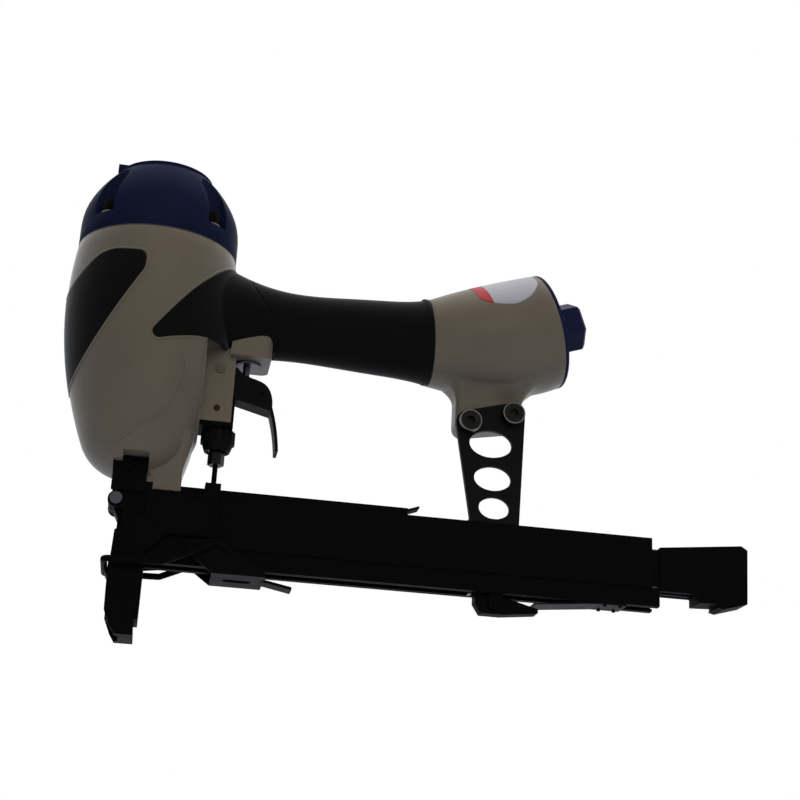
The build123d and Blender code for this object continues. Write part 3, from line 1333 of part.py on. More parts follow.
# Nose: staple channel, cheeks over the magazine, screw ears and door hinge
with BuildPart() as nose_body:
    add(block(CHANNEL_X, NOSE_BACK, -NOSE_Y, NOSE_Y, NOSE_LOW, NOSE_BLOCK_TOP))
    add(block(NOSE_HEAD_FRONT, NOSE_BACK, -NOSE_Y, NOSE_Y, NOSE_TOP_LOW, NOSE_TOP))
    for near in (-NOSE_Y, CHANNEL_Y):
        add(block(NOSE_FRONT, NOSE_BACK, near, near + NOSE_Y - CHANNEL_Y, NOSE_LOW, NOSE_TOP))
        add(
            block(
                HINGE_X,
                NOSE_FRONT + GAP,
                near,
                near + NOSE_Y - CHANNEL_Y,
                HINGE_Z - LUG_R,
                NOSE_TOP,
            )
        )
        add(cross_pin(HINGE_X, HINGE_Z, LUG_R, near, near + NOSE_Y - CHANNEL_Y))
    for near in (-NOSE_Y, NOSE_Y - CHEEK_T):
        add(plate(CHEEK, near, near + CHEEK_T))
    for near, ear in ((-EAR_Y - EAR_T, -EAR_Y - EAR_T), (EAR_Y - SEAT, EAR_Y)):
        add(block(EAR_STEP_FRONT, EAR_BACK, near, near + EAR_T + SEAT, NOSE_TOP_LOW, NOSE_TOP))
        add(block(EAR_FRONT, EAR_BACK, ear, ear + EAR_T, NOSE_TOP, EAR_TOP))
        add(block(EAR_STEP_FRONT, EAR_FRONT, ear, ear + EAR_T, NOSE_TOP, EAR_STEP_TOP))
    add(
        block(
            -DRIVER_SLOT_T / 2,
            DRIVER_SLOT_T / 2,
            -DRIVER_SLOT_W / 2,
            DRIVER_SLOT_W / 2,
            NOSE_TOP_LOW,
            NOSE_TOP,
        ),
        mode=Mode.SUBTRACT,
    )
    add(cross_pin(HINGE_X, HINGE_Z, HINGE_R, -NOSE_W, NOSE_W), mode=Mode.SUBTRACT)
    add(cross_pin(STUD_X, STUD_Z, STUD_R, -NOSE_W, NOSE_W), mode=Mode.SUBTRACT)
    for x in (EAR_MID - NOSE_SCREW_X, EAR_MID + NOSE_SCREW_X):
        add(cross_pin(x, NOSE_SCREW_Z, NOSE_SCREW_R + RUN, -NOSE_W, NOSE_W), mode=Mode.SUBTRACT)
nose_body.part.label = "nose_body"
export_step(nose_body.part, "parts/nose_body.step")

with BuildPart() as nose_screws:
    for x in (EAR_MID - NOSE_SCREW_X, EAR_MID + NOSE_SCREW_X):
        for side in (-1, 1):
            head = EAR_Y + EAR_T
            inner = NOSE_Y - NOSE_SCREW_GRIP + GAP
            low, high = sorted((side * inner, side * head))
            add(cross_pin(x, NOSE_SCREW_Z, NOSE_SCREW_R, low, high))
            low, high = sorted((side * head, side * (head + NOSE_HEAD_T)))
            add(cross_pin(x, NOSE_SCREW_Z, NOSE_HEAD_R, low, high))
            with BuildSketch(Plane.XZ.offset(-side * (head + NOSE_HEAD_T / 2))):
                with Locations((x, NOSE_SCREW_Z)):
                    RegularPolygon(NOSE_SCREW_R, 6)
            extrude(amount=-side * NOSE_HEAD_T, mode=Mode.SUBTRACT)
nose_screws.part.label = "nose_screws"
export_step(nose_screws.part, "parts/nose_screws.step")

# Nose door on its hinge pin, with the ledge that takes the latch bail
with BuildPart() as nose_door:
    add(
        plate(
            [
                (-CHANNEL_X, DOOR_LOW),
                (DOOR_FRONT, DOOR_LOW),
                (DOOR_FRONT, DOOR_LEDGE_Z - DOOR_LEDGE_H),
                (DOOR_LEDGE_X, DOOR_LEDGE_Z - DOOR_LEDGE_T),
                (DOOR_LEDGE_X, DOOR_LEDGE_Z),
                (DOOR_PAD_X, DOOR_LEDGE_Z),
                (DOOR_PAD_X, DOOR_LEDGE_Z + DOOR_PAD_H),
                (DOOR_FRONT, DOOR_LEDGE_Z + DOOR_PAD_H + DOOR_LEDGE_T),
                (DOOR_FRONT, DOOR_TOP - HINGE_EYE_R),
                (HINGE_X - HINGE_EYE_R / 2, HINGE_Z - HINGE_EYE_R / 2),
                (HINGE_X, HINGE_Z),
                (DOOR_FRONT + HINGE_R, HINGE_Z),
                (-CHANNEL_X, DOOR_TOP),
            ],
            -DOOR_W / 2,
            DOOR_W / 2,
        )
    )
    add(cross_pin(HINGE_X, HINGE_Z, HINGE_EYE_R, -DOOR_W / 2, DOOR_W / 2))
    add(cross_pin(HINGE_X, HINGE_Z, HINGE_R + RUN, -DOOR_W, DOOR_W), mode=Mode.SUBTRACT)
nose_door.part.label = "nose_door"
export_step(nose_door.part, "parts/nose_door.step")

with BuildPart() as door_pin:
    add(cross_pin(HINGE_X, HINGE_Z, HINGE_R, -NOSE_Y - SEAT, NOSE_Y + SEAT))
    for near in (-NOSE_Y - SEAT - HINGE_HEAD_T, NOSE_Y + SEAT):
        add(cross_pin(HINGE_X, HINGE_Z, HINGE_HEAD_R, near, near + HINGE_HEAD_T))
door_pin.part.label = "door_pin"
export_step(door_pin.part, "parts/door_pin.step")

# Toggle latch of the door: studs, lever and wire bail
with BuildPart() as latch_studs:
    for near in (-LATCH_EAR_Y - LATCH_EAR_T - SEAT, NOSE_Y - CHEEK_T):
        add(cross_pin(STUD_X, STUD_Z, STUD_R, near, near + STUD_LEN))
latch_studs.part.label = "latch_studs"
export_step(latch_studs.part, "parts/latch_studs.step")

with BuildPart() as latch_lever:
    for near in (-LATCH_EAR_Y - LATCH_EAR_T, LATCH_EAR_Y):
        with BuildSketch(Plane.XZ.offset(-near - LATCH_EAR_T)):
            with Locations((STUD_X, STUD_Z)):
                Circle(LATCH_EYE_R)
            with Locations((BAIL_X, BAIL_Z)):
                Circle(BAIL_EYE_R)
            with Locations(((LATCH_WEB_FRONT + LATCH_WEB_BACK) / 2, LATCH_WEB_Z + LATCH_EAR_T)):
                Rectangle(LATCH_WEB_BACK - LATCH_WEB_FRONT, 2 * LATCH_EAR_T)
            make_hull()
        extrude(amount=LATCH_EAR_T)
    add(
        plate(
            [
                (LATCH_WEB_FRONT, LATCH_WEB_Z),
                (LATCH_WEB_BACK, LATCH_WEB_Z),
                (LATCH_WEB_BACK, LATCH_WEB_Z + LATCH_EAR_T),
                (LATCH_WEB_FRONT, LATCH_WEB_Z + LATCH_EAR_T),
            ],
            -LATCH_EAR_Y - LATCH_EAR_T,
            LATCH_EAR_Y + LATCH_EAR_T,
        )
    )
    add(
        plate(
            [
                (LATCH_WEB_BACK - LATCH_EAR_T, LATCH_WEB_Z),
                (LATCH_TAIL_X, LATCH_TAIL_Z),
                (LATCH_TAIL_X, LATCH_TAIL_Z + LATCH_EAR_T),
                (LATCH_WEB_BACK - LATCH_EAR_T, LATCH_WEB_Z + LATCH_EAR_T),
            ],
            -LATCH_TAIL_W / 2,
            LATCH_TAIL_W / 2,
        )
    )
    with BuildSketch(Plane.XY.offset(LATCH_WEB_Z)):
        with Locations(((LATCH_WEB_FRONT + LATCH_WEB_BACK) / 2, 0)):
            SlotOverall(LATCH_SLOT_LEN, LATCH_SLOT_W)
    extrude(amount=LATCH_EAR_T, mode=Mode.SUBTRACT)
    add(cross_pin(STUD_X, STUD_Z, STUD_R + RUN, -BAIL_Y, BAIL_Y), mode=Mode.SUBTRACT)
    add(cross_pin(BAIL_X, BAIL_Z, BAIL_R + RUN, -BAIL_Y, BAIL_Y), mode=Mode.SUBTRACT)
latch_lever.part.label = "latch_lever"
export_step(latch_lever.part, "parts/latch_lever.step")

with BuildPart() as latch_bail:
    with BuildLine() as wire:
        FilletPolyline(
            (BAIL_X, -BAIL_END_Y, BAIL_Z),
            (BAIL_X, -BAIL_Y, BAIL_Z),
            (BAIL_KINK_X, -BAIL_Y, BAIL_KINK_Z),
            (BAIL_BAR_X, -BAIL_Y, BAIL_BAR_Z),
            (BAIL_BAR_X, BAIL_Y, BAIL_BAR_Z),
            (BAIL_KINK_X, BAIL_Y, BAIL_KINK_Z),
            (BAIL_X, BAIL_Y, BAIL_Z),
            (BAIL_X, BAIL_END_Y, BAIL_Z),
            radius=BAIL_BEND_R,
        )
    with BuildSketch(Plane(origin=wire.line @ 0, z_dir=wire.line % 0)):
        Circle(BAIL_R)
    sweep(path=wire.line)
latch_bail.part.label = "latch_bail"
export_step(latch_bail.part, "parts/latch_bail.step")

# Magazine housing: a drawn channel open below, with lips and the lugs of the release latch
with BuildPart() as magazine_housing:
    add(block(MAG_FRONT, MAG_BACK, -MAG_W / 2, MAG_W / 2, MAG_STEP_Z, MAG_TOP))
    add(block(MAG_FRONT, MAG_STEP_BACK, -MAG_STEP_W / 2, MAG_STEP_W / 2, MAG_LOW, MAG_STEP_Z))
    add(
        block(
            MAG_FRONT,
            MAG_STEP_BACK,
            -PUSHER_W / 2 - PUSHER_FIT,
            PUSHER_W / 2 + PUSHER_FIT,
            MAG_LOW + MAG_LIP_T,
            MAG_ROOF,
        ),
        mode=Mode.SUBTRACT,
    )
    add(
        block(
            MAG_FRONT,
            MAG_STEP_BACK,
            -MAG_LIP_GAP / 2,
            MAG_LIP_GAP / 2,
            MAG_LOW,
            MAG_LOW + MAG_LIP_T,
        ),
        mode=Mode.SUBTRACT,
    )
    for near in (-LATCH_LUG_W / 2, LATCH_LUG_W / 2 - LATCH_LUG_T):
        with BuildSketch(Plane.XZ.offset(-near - LATCH_LUG_T)):
            with Locations((LATCH_PIN_X, LATCH_PIN_Z)):
                Circle(LATCH_LUG_R)
            with Locations((LATCH_PIN_X, (LATCH_PIN_Z + MAG_LOW + MAG_LIP_T) / 2)):
                Rectangle(2 * LATCH_LUG_R, MAG_LOW + MAG_LIP_T - LATCH_PIN_Z)
        extrude(amount=LATCH_LUG_T)
    add(cross_pin(LATCH_PIN_X, LATCH_PIN_Z, LATCH_PIN_R, -LATCH_LUG_W, LATCH_LUG_W), mode=Mode.SUBTRACT)
    for x in LEAF_RIVET_X:
        for y in (-LEAF_RIVET_Y, LEAF_RIVET_Y):
            add(tube(LEAF_RIVET_R, 0, MAG_LOW, MAG_LOW + MAG_LIP_T, x, y), mode=Mode.SUBTRACT)
    for x in BRACKET_RIVET_X:
        add(tube(BRACKET_RIVET_R, 0, MAG_ROOF, MAG_TOP, x, BRACKET_RIVET_Y), mode=Mode.SUBTRACT)
magazine_housing.part.label = "magazine_housing"
export_step(magazine_housing.part, "parts/magazine_housing.step")

# Hat rail on the roof of the magazine, with a raised tab at its rear end
with BuildPart() as top_rail:
    rail_low = MAG_TOP + SEAT
    add(block(MAG_FRONT, TOP_RAIL_BACK, -TOP_RAIL_W / 2, TOP_RAIL_W / 2, rail_low, TOP_RAIL_TOP))
    add(
        block(
            MAG_FRONT,
            TOP_RAIL_BACK,
            TOP_RAIL_T - TOP_RAIL_W / 2,
            TOP_RAIL_W / 2 - TOP_RAIL_T,
            rail_low,
            TOP_RAIL_TOP - TOP_RAIL_T,
        ),
        mode=Mode.SUBTRACT,
    )
    add(
        plate(
            [
                (TOP_RAIL_BACK - TAB_T, TOP_RAIL_TOP - TAB_T),
                (TAB_X, TAB_Z - TAB_T),
                (TAB_X, TAB_Z),
                (TOP_RAIL_BACK - TAB_T, TOP_RAIL_TOP),
            ],
            -TAB_W / 2,
            TAB_W / 2,
        )
    )
top_rail.part.label = "top_rail"
export_step(top_rail.part, "parts/top_rail.step")

# Drawer: staple rail with its catch, pull end and rivets
with BuildPart() as staple_rail:
    add(block(RAIL_FRONT, RAIL_BACK, -RAIL_W / 2, RAIL_W / 2, RAIL_LOW, RAIL_TOP))
    add(
        block(
            RAIL_FRONT,
            RAIL_BACK,
            RAIL_T - RAIL_W / 2,
            RAIL_W / 2 - RAIL_T,
            RAIL_LOW,
            RAIL_TOP - RAIL_T,
        ),
        mode=Mode.SUBTRACT,
    )
    add(block(CATCH_X, CATCH_X + CATCH_T, CATCH_NEAR, RAIL_W / 2, RAIL_LOW - CATCH_STRAP, RAIL_LOW))
    add(block(CATCH_X, CATCH_X + CATCH_T, CATCH_NEAR, CATCH_FAR, CATCH_LOW, RAIL_LOW))
    for x in (RAIL_RIVET_X, RAIL_RIVET_X + RAIL_RIVET_PITCH):
        add(cross_pin(x, RAIL_RIVET_Z, RAIL_RIVET_R, -RAIL_W, RAIL_W), mode=Mode.SUBTRACT)
staple_rail.part.label = "staple_rail"
export_step(staple_rail.part, "parts/staple_rail.step")

with BuildPart() as pull_end:
    add(plate(END_SIDE, -END_W / 2, END_W / 2, END_CORNER_R))
    for near in (-END_TONGUE_W / 2, RAIL_W / 2):
        add(
            block(
                END_TONGUE_X,
                END_NECK_X,
                near,
                near + END_TONGUE_W / 2 - RAIL_W / 2,
                END_TONGUE_LOW,
                END_TONGUE_TOP,
            )
        )
    add(
        block(
            END_TONGUE_X,
            RAIL_BACK + SEAT,
            -RAIL_W / 2 - RUN,
            RAIL_W / 2 + RUN,
            END_SIDE[-1][1],
            RAIL_TOP + RUN,
        ),
        mode=Mode.SUBTRACT,
    )
    for x in (RAIL_RIVET_X, RAIL_RIVET_X + RAIL_RIVET_PITCH):
        add(cross_pin(x, RAIL_RIVET_Z, RAIL_RIVET_R, -END_W, END_W), mode=Mode.SUBTRACT)
pull_end.part.label = "pull_end"
export_step(pull_end.part, "parts/pull_end.step")

with BuildPart() as rail_rivets:
    for x in (RAIL_RIVET_X, RAIL_RIVET_X + RAIL_RIVET_PITCH):
        add(cross_pin(x, RAIL_RIVET_Z, RAIL_RIVET_R, -END_W / 2, END_W / 2))
rail_rivets.part.label = "rail_rivets"
export_step(rail_rivets.part, "parts/rail_rivets.step")

# Pusher around the rail, with the drum of its ribbon spring
with BuildPart() as pusher:
    pusher_back = PUSHER_FRONT + PUSHER_LEN
    add(block(PUSHER_FRONT, pusher_back, -PUSHER_W / 2, PUSHER_W / 2, PUSHER_LOW, PUSHER_TOP))
    add(
        block(
            PUSHER_FRONT,
            pusher_back,
            -RAIL_W / 2 - PUSHER_FIT,
            RAIL_W / 2 + PUSHER_FIT,
            PUSHER_LOW,
            RAIL_TOP + PUSHER_FIT,
        ),
        mode=Mode.SUBTRACT,
    )
    # lip under the near wall of the rail and arm up to the drum
    add(
        block(
            PUSHER_FRONT,
            DRUM_X + DRUM_R,
            -PUSHER_W / 2,
            -DRUM_ARM_Y,
            PUSHER_LIP_Z,
            PUSHER_LIP_Z + PUSHER_LIP_T,
        )
    )
    add(
        block(
            DRUM_X - DRUM_R,
            DRUM_X + DRUM_R,
            -DRUM_ARM_Y - DRUM_ARM_T,
            -DRUM_ARM_Y,
            PUSHER_LIP_Z,
            DRUM_Z + DRUM_R,
        )
    )
    add(cross_pin(DRUM_X, DRUM_Z, DRUM_R, -DRUM_ARM_Y, DRUM_ARM_Y))
pusher.part.label = "pusher"
export_step(pusher.part, "parts/pusher.step")

with BuildPart() as feed_spring:
    add(cross_pin(DRUM_X, DRUM_Z, DRUM_ROLL_R, SEAT - DRUM_ARM_Y, DRUM_ARM_Y))
    add(cross_pin(DRUM_X, DRUM_Z, DRUM_R + SEAT, -DRUM_ARM_Y, DRUM_ARM_Y), mode=Mode.SUBTRACT)
    add(
        block(
            RIBBON_FRONT,
            DRUM_X,
            SEAT - DRUM_ARM_Y,
            DRUM_ARM_Y,
            DRUM_Z - DRUM_ROLL_R,
            DRUM_Z - DRUM_ROLL_R + RIBBON_T,
        )
    )
feed_spring.part.label = "feed_spring"
export_step(feed_spring.part, "parts/feed_spring.step")

# Release latch below the magazine, its pin and its leaf spring
with BuildPart() as release_latch:
    add(
        plate(
            [
                (LATCH_FRONT, LATCH_PIN_Z),
                (LATCH_FRONT, LATCH_HOOK_TOP),
                (LATCH_FRONT + LATCH_HOOK_T, LATCH_HOOK_TOP),
                (LATCH_FRONT + LATCH_HOOK_T, LATCH_TOP),
                (LATCH_NECK_X, LATCH_TOP),
                (LATCH_BACK, LATCH_REAR_TOP),
                (LATCH_BACK, LATCH_REAR_LOW),
                (LATCH_NECK_X, LATCH_LOW),
                (LATCH_FRONT + LATCH_HOOK_T, LATCH_LOW),
            ],
            -LATCH_W / 2,
            LATCH_W / 2,
            LATCH_CORNER_R,
        )
    )
    add(cross_pin(LATCH_PIN_X, LATCH_PIN_Z, LATCH_PIN_R + RUN, -LATCH_W, LATCH_W), mode=Mode.SUBTRACT)
release_latch.part.label = "release_latch"
export_step(release_latch.part, "parts/release_latch.step")

with BuildPart() as latch_pin:
    add(cross_pin(LATCH_PIN_X, LATCH_PIN_Z, LATCH_PIN_R, -LATCH_LUG_W / 2 - SEAT, LATCH_LUG_W / 2 + SEAT))
latch_pin.part.label = "latch_pin"
export_step(latch_pin.part, "parts/latch_pin.step")

with BuildPart() as latch_leaf:
    add(
        plate(
            [
                (LEAF_FRONT, LEAF_FRONT_Z),
                (LEAF_BEND_X, MAG_LOW - SEAT - LEAF_T),
                (LEAF_BACK, MAG_LOW - SEAT - LEAF_T),
                (LEAF_BACK, MAG_LOW - SEAT),
                (LEAF_BEND_X, MAG_LOW - SEAT),
                (LEAF_FRONT, LEAF_FRONT_Z + LEAF_T),
            ],
            -LEAF_W / 2,
            LEAF_W / 2,
        )
    )
    for x in LEAF_RIVET_X:
        for y in (-LEAF_RIVET_Y, LEAF_RIVET_Y):
            add(tube(LEAF_RIVET_R, 0, MAG_LOW - LEAF_W, MAG_LOW, x, y), mode=Mode.SUBTRACT)
latch_leaf.part.label = "latch_leaf"
export_step(latch_leaf.part, "parts/latch_leaf.step")

with BuildPart() as leaf_rivets:
    for x in LEAF_RIVET_X:
        for y in (-LEAF_RIVET_Y, LEAF_RIVET_Y):
            add(tube(LEAF_RIVET_R, 0, MAG_LOW - SEAT - LEAF_T - PIN_PROUD, MAG_LOW + MAG_LIP_T, x, y))
leaf_rivets.part.label = "leaf_rivets"
export_step(leaf_rivets.part, "parts/leaf_rivets.step")

# Bracket between the boss of the casting and the magazine, with its screws and rivets
bracket_low = MAG_TOP + SEAT
with BuildPart() as magazine_bracket:
    with BuildSketch(Plane.XZ.offset(-BRACKET_Y - BRACKET_T)):
        for x, z in (SCREW_A, SCREW_B):
            with Locations((x, z)):
                Circle(BRACKET_EYE_R)
        with Locations(((BRACKET_FOOT_FRONT + BRACKET_FOOT_BACK) / 2, bracket_low + BRACKET_FOOT_T / 2)):
            Rectangle(BRACKET_FOOT_BACK - BRACKET_FOOT_FRONT, BRACKET_FOOT_T)
        make_hull()
        for x, z, length, height in BRACKET_HOLES:
            with Locations((x, z)):
                Ellipse(length / 2, height / 2, mode=Mode.SUBTRACT)
        for x, z in (SCREW_A, SCREW_B):
            with Locations((x, z)):
                Circle(BRACKET_SCREW_R + RUN, mode=Mode.SUBTRACT)
    extrude(amount=BRACKET_T)
    add(
        block(
            BRACKET_FOOT_FRONT,
            BRACKET_FOOT_BACK,
            BRACKET_Y,
            BRACKET_Y + BRACKET_FOOT_W,
            bracket_low,
            bracket_low + BRACKET_FOOT_T,
        )
    )
    for x in BRACKET_RIVET_X:
        add(
            tube(BRACKET_RIVET_R, 0, bracket_low, bracket_low + BRACKET_FOOT_T, x, BRACKET_RIVET_Y),
            mode=Mode.SUBTRACT,
        )
magazine_bracket.part.label = "magazine_bracket"
export_step(magazine_bracket.part, "parts/magazine_bracket.step")

with BuildPart() as bracket_screws:
    for x, z in (SCREW_A, SCREW_B):
        add(cross_pin(x, z, BRACKET_SCREW_R, BRACKET_Y, BRACKET_Y + BRACKET_SCREW_LEN))
        add(cross_pin(x, z, BRACKET_HEAD_R, BRACKET_Y - BRACKET_HEAD_T, BRACKET_Y))
        with BuildSketch(Plane.XZ.offset(-BRACKET_Y + BRACKET_HEAD_T)):
            with Locations((x, z)):
                RegularPolygon(BRACKET_SOCKET_R, 6)
        extrude(amount=-BRACKET_HEAD_T / 2, mode=Mode.SUBTRACT)
bracket_screws.part.label = "bracket_screws"
export_step(bracket_screws.part, "parts/bracket_screws.step")

with BuildPart() as bracket_rivets:
    for x in BRACKET_RIVET_X:
        add(
            tube(
                BRACKET_RIVET_R,
                0,
                MAG_ROOF,
                bracket_low + BRACKET_FOOT_T + PIN_PROUD,
                x,
                BRACKET_RIVET_Y,
            )
        )
bracket_rivets.part.label = "bracket_rivets"
export_step(bracket_rivets.part, "parts/bracket_rivets.step")
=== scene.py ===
"""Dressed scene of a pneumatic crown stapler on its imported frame."""

import logging
from dataclasses import dataclass, field
from enum import Enum
from math import cos, pi, radians, sin, tau

import bmesh
import bpy
import numpy as np
from mathutils import Matrix, Vector


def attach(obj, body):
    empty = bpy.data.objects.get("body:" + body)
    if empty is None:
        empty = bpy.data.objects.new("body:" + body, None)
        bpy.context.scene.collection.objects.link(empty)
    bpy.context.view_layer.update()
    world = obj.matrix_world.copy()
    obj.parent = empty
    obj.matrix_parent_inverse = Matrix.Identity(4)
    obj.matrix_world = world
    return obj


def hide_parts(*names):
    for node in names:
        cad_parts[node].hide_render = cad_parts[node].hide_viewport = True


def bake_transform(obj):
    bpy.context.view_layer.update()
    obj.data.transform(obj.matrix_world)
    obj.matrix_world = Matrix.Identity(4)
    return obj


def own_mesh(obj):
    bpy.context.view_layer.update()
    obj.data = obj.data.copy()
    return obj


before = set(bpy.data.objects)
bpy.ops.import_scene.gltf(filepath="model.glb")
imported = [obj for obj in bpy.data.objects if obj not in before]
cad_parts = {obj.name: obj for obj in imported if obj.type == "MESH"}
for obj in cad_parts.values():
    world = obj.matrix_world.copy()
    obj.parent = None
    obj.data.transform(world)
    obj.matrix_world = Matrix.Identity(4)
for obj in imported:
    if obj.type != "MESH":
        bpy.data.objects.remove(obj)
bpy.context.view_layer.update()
log = logging.getLogger("crown_stapler")
MM = 0.001
WELD_GAP = 0.00001
POLE_GAP = 0.0000001
COPY_GAP = 0.000001
BEVEL_STEPS = 2
BEVEL_ANGLE = radians(38)
SHEEN_ROUGHNESS = 0.3
PHOTO_WIDTH = 800.0
SENSOR_WIDTH = 36.0
WHITE = (1.0, 1.0, 1.0, 1.0)


class Side(Enum):
    """Side of the tool as the sign of Y."""

    NEAR = -1.0
    FAR = 1.0


class Shade(Enum):
    """How a frame node's edges are finished: the bevel's width in millimetres."""

    SHARP = 0.0
    SHEET = 0.25
    TURNED = 0.4
    MOULDED = 0.7
    CAST = 1.1


def new_group(name: str, inputs: dict[str, float], outputs: dict[str, str]) -> bpy.types.NodeTree:
    """Empty shader group with Object coordinates, float inputs and the given outputs.

    Args:
        name: Name of the group.
        inputs: Default value of each float input by its name.
        outputs: Socket type of each output by its name.

    Returns:
        The group's node tree.
    """
    tree = bpy.data.node_groups.new(name, "ShaderNodeTree")
    for label, value in inputs.items():
        kind = "NodeSocketFloat"
        socket = tree.interface.new_socket(name=label, in_out="INPUT", socket_type=kind)
        socket.default_value = value
    for label, kind in outputs.items():
        tree.interface.new_socket(name=label, in_out="OUTPUT", socket_type=kind)
    tree.nodes.new("NodeGroupInput").name = "in"
    tree.nodes.new("NodeGroupOutput").name = "out"
    tree.nodes.new("ShaderNodeTexCoord").name = "coord"
    return tree


def math_node(
    tree: bpy.types.NodeTree, operation: str, value: float | None = None, clamp: bool = False
) -> bpy.types.Node:
    """Math node of a node tree.

    Args:
        tree: The node tree.
        operation: What the node does.
        value: Its second value where that is fixed.
        clamp: Whether the result is kept from 0 to 1.

    Returns:
        The node.
    """
    node = tree.nodes.new("ShaderNodeMath")
    node.operation = operation
    node.use_clamp = clamp
    if value is not None:
        node.inputs[1].default_value = value
    return node


def noise_node(
    tree: bpy.types.NodeTree, detail: float, roughness: float = 0.5, distortion: float = 0.0
) -> bpy.types.Node:
    """Noise texture on the group's Object coordinates.

    Args:
        tree: Node tree of a group made by new_group.
        detail: Octaves of the noise.
        roughness: Strength of the finer octaves.
        distortion: Warp of the noise.

    Returns:
        The node.
    """
    node = tree.nodes.new("ShaderNodeTexNoise")
    node.inputs["Detail"].default_value = detail
    node.inputs["Roughness"].default_value = roughness
    node.inputs["Distortion"].default_value = distortion
    tree.links.new(tree.nodes["coord"].outputs["Object"], node.inputs["Vector"])
    return node


def group_node(
    tree: bpy.types.NodeTree, group: bpy.types.NodeTree, values: dict[str, float]
) -> bpy.types.Node:
    """Shared group placed in a material with its own values.

    Args:
        tree: Node tree of the material.
        group: The shared group.
        values: Values of its inputs by name.

    Returns:
        The node.
    """
    node = tree.nodes.new("ShaderNodeGroup")
    node.node_tree = group
    for label, value in values.items():
        node.inputs[label].default_value = value
    return node


def colour_mix(tree: bpy.types.NodeTree, factor: bpy.types.NodeSocket) -> bpy.types.Node:
    """Colour Mix node led by a factor: sockets 6 and 7 are its colours, output 2 its result."""
    node = tree.nodes.new("ShaderNodeMix")
    node.data_type = "RGBA"
    tree.links.new(factor, node.inputs[0])
    return node


class Effects:
    """Shared shader groups, each made once."""

    def __init__(self) -> None:
        """Builds the groups."""
        self.grain = self._grain()
        self.mottle = self._mottle()
        self.brush = self._brush()
        self.scuff = self._scuff()

    def _grain(self) -> bpy.types.NodeTree:
        """Fine height grain: two noises, one about a sixth as fine, in cells per metre."""
        inputs = {"Scale": 2500.0, "Coarse": 0.35}
        tree = new_group("fine_grain", inputs, {"Height": "NodeSocketFloat"})
        n, link = tree.nodes, tree.links.new
        fine, rough = noise_node(tree, 3.0), noise_node(tree, 2.0)
        sixth = math_node(tree, "MULTIPLY", 0.17)
        blend = n.new("ShaderNodeMix")
        link(n["in"].outputs["Scale"], fine.inputs["Scale"])
        link(n["in"].outputs["Scale"], sixth.inputs[0])
        link(sixth.outputs[0], rough.inputs["Scale"])
        link(n["in"].outputs["Coarse"], blend.inputs[0])
        link(fine.outputs["Fac"], blend.inputs[2])
        link(rough.outputs["Fac"], blend.inputs[3])
        link(blend.outputs[0], n["out"].inputs["Height"])
        return tree

    def _mottle(self) -> bpy.types.NodeTree:
        """Slow clouding of a finish: noise stretched to the span 0 to 1 about its middle."""
        inputs = {"Scale": 60.0, "Contrast": 2.0}
        tree = new_group("clouding", inputs, {"Mask": "NodeSocketFloat"})
        n, link = tree.nodes, tree.links.new
        cloud = noise_node(tree, 5.0, roughness=0.6)
        centre = math_node(tree, "SUBTRACT", 0.5)
        spread = math_node(tree, "MULTIPLY")
        back = math_node(tree, "ADD", 0.5, clamp=True)
        link(n["in"].outputs["Scale"], cloud.inputs["Scale"])
        link(cloud.outputs["Fac"], centre.inputs[0])
        link(centre.outputs[0], spread.inputs[0])
        link(n["in"].outputs["Contrast"], spread.inputs[1])
        link(spread.outputs[0], back.inputs[0])
        link(back.outputs[0], n["out"].inputs["Mask"])
        return tree

    def _brush(self) -> bpy.types.NodeTree:
        """Drawn or ground lines along X: noise squeezed across the run of the tool marks."""
        tree = new_group("drawn_lines", {"Scale": 900.0}, {"Height": "NodeSocketFloat"})
        n, link = tree.nodes, tree.links.new
        squeeze = n.new("ShaderNodeVectorMath")
        squeeze.operation = "MULTIPLY"
        squeeze.inputs[1].default_value = (0.03, 1.0, 1.0)
        lines = noise_node(tree, 2.0)
        link(n["coord"].outputs["Object"], squeeze.inputs[0])
        link(squeeze.outputs[0], lines.inputs["Vector"])
        link(n["in"].outputs["Scale"], lines.inputs["Scale"])
        link(lines.outputs["Fac"], n["out"].inputs["Height"])
        return tree

    def _scuff(self) -> bpy.types.NodeTree:
        """Rubbed spots: the top of a warped noise above a threshold."""
        inputs = {"Scale": 140.0, "Level": 0.64}
        tree = new_group("rubbed_spots", inputs, {"Mask": "NodeSocketFloat"})
        n, link = tree.nodes, tree.links.new
        spots = noise_node(tree, 6.0, roughness=0.7, distortion=0.4)
        above = math_node(tree, "SUBTRACT")
        sharp = math_node(tree, "MULTIPLY", 14.0, clamp=True)
        link(n["in"].outputs["Scale"], spots.inputs["Scale"])
        link(spots.outputs["Fac"], above.inputs[0])
        link(n["in"].outputs["Level"], above.inputs[1])
        link(above.outputs[0], sharp.inputs[0])
        link(sharp.outputs[0], n["out"].inputs["Mask"])
        return tree


def linear(red: float, green: float, blue: float) -> tuple[float, float, float, float]:
    """Colour for a shader from display values of 0 to 255."""
    value = np.array([red, green, blue]) / 255.0
    out = np.where(value <= 0.04045, value / 12.92, ((value + 0.055) / 1.055) ** 2.4)
    return (*map(float, out), 1.0)


